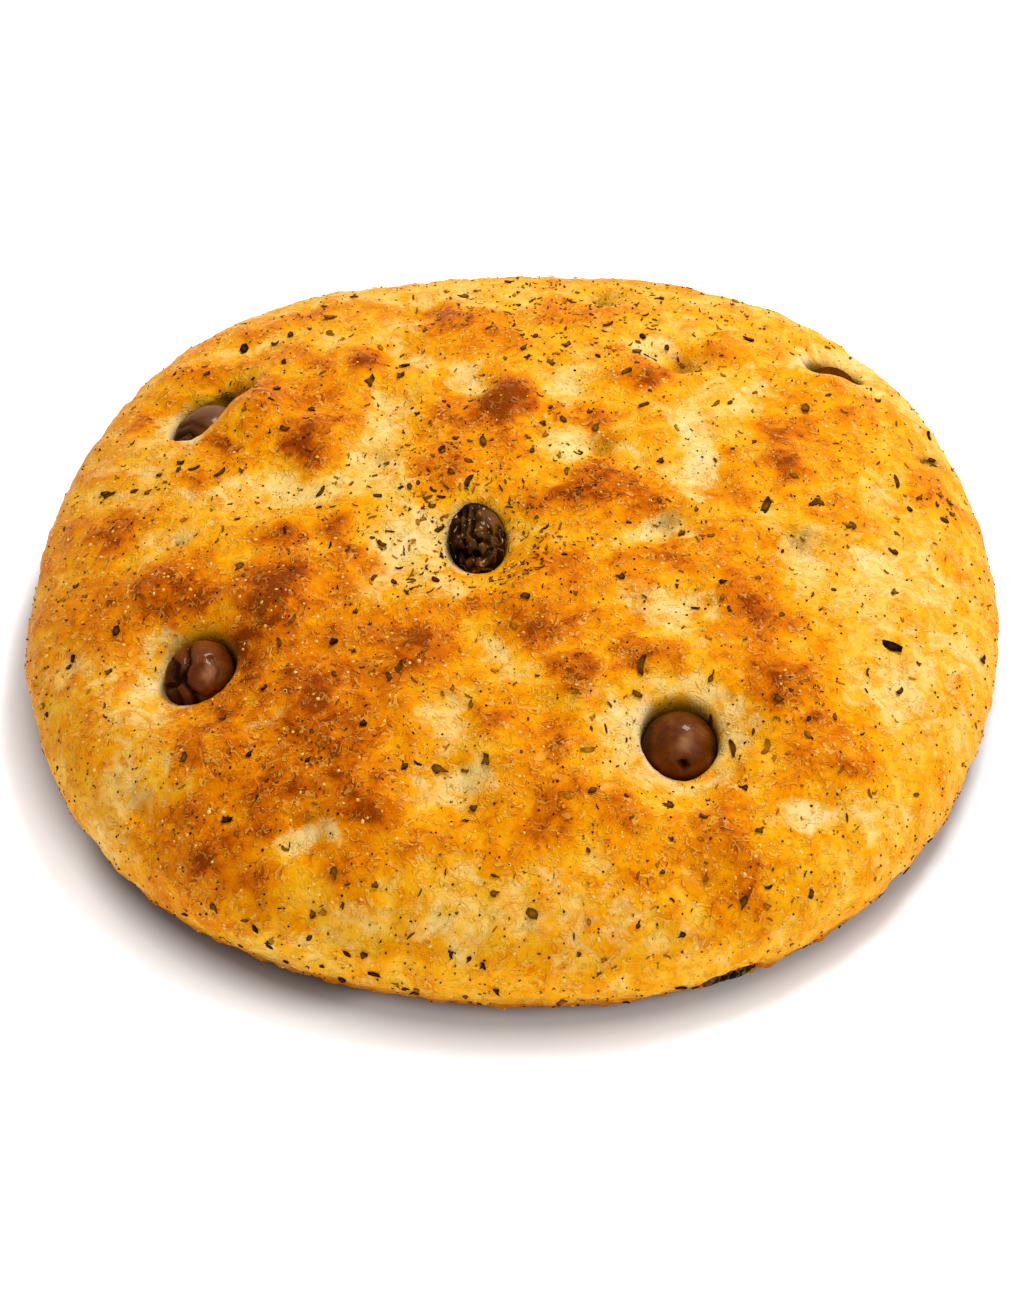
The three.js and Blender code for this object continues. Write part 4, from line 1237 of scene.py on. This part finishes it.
def semolinaMaterial():
    material, shader, spot = newMaterial("toastedSemolina", {"Specular IOR Level": 0.25})
    fine = spot.noise(1.1 * mm, 2)
    tone = spot.mark("shade") * 0.8 + (fine - 0.5) * 0.3
    skin = tone.ramp(bakedRamp([(0.0, (251, 216, 134)), (0.4, (250, 200, 90)), (0.8, (246, 178, 46))]))
    feed(shader, {"Base Color": skin, "Roughness": 0.45 + fine * 0.1, "Normal": fine.bump(0.2 * mm, 0.4)})
    return material


draw = Draw(herbs["sowSeed"])
herb = herbMaterial()
finish(sowFlakes(body, draw), None, herb, crisp=True)
finish(sowSpecks(body, "herbDots", draw), None, herb, crisp=True)
finish(sowSpecks(body, "semolinaGrains", draw), None, semolinaMaterial())
print("stage: herbs and semolina")


# The floor

paleFloor = {  # metres; the floor glows as painted light, starting just outside the loaf
    "size": 12.0, "drop": 0.3 * mm, "glowStart": 0.120, "glowPerMetre": 25, "shadowRing": (0.116, 0.138),
    "contactShadowRing": (0.115, 0.1215),
}
footShadow = {"from": -110, "to": -146, "reach": 114.5, "core": -1.4, "end": 22}  # under the front left edge


def clearOfShadow(spot):  # 0 under the front left edge and 1 away from it, by the distance to both ends
    ends = []
    for name in ("from", "to"):
        bearing = math.radians(footShadow[name])
        ends.append(Vector((math.cos(bearing), math.sin(bearing), 0)) * footShadow["reach"] * mm)
    apart = (ends[0] - ends[1]).length
    both = spot.distanceTo(ends[0]) + spot.distanceTo(ends[1])
    return both.above(apart + footShadow["core"] * mm, apart + footShadow["end"] * mm)


def floorMaterial():  # glows like a light table, as painted light, held back near the loaf and under its front left edge as painted shadow
    material, shader, spot = newMaterial("glowingShadedFloor", {"Specular IOR Level": 0.0, "Emission Strength": 0.6})
    shadow = 1 - clearOfShadow(spot)
    fine = spot.noise(4 * mm, 2)
    out = spot.distanceTo((0, 0, 0))
    paintedGlow = ((out - paleFloor["glowStart"]) * paleFloor["glowPerMetre"]).ramp([
        (at, rgb(grey, grey, grey)) for at, grey in [(0.08, 0), (0.30, 205), (0.55, 240), (0.90, 255)]])
    paperAndShadow = fine.ramp([(0.0, rgb(247, 246, 246)), (1.0, rgb(249, 249, 249))])
    # painted shadow: darker rings on the floor round the loaf's foot, brownish where it touches
    paperAndShadow = paperAndShadow.over(rgb(202, 213, 222), 1 - out.above(*paleFloor["shadowRing"]))
    paperAndShadow = paperAndShadow.over(rgb(170, 128, 84), (1 - out.above(*paleFloor["contactShadowRing"])) * 0.7)
    feed(shader, {
        "Base Color": paperAndShadow.over(rgb(132, 120, 112), shadow),
        "Roughness": 0.9 + fine * 0.05,
        "Emission Color": paintedGlow.over(rgb(0, 0, 0), shadow * 0.25),
    })
    return material


floor = add(bpy.ops.mesh.primitive_plane_add, "paleFloor", size=paleFloor["size"])
setPoints(floor, points(floor) - np.array((0, 0, paleFloor["drop"])))
floor.data.materials.append(floorMaterial())
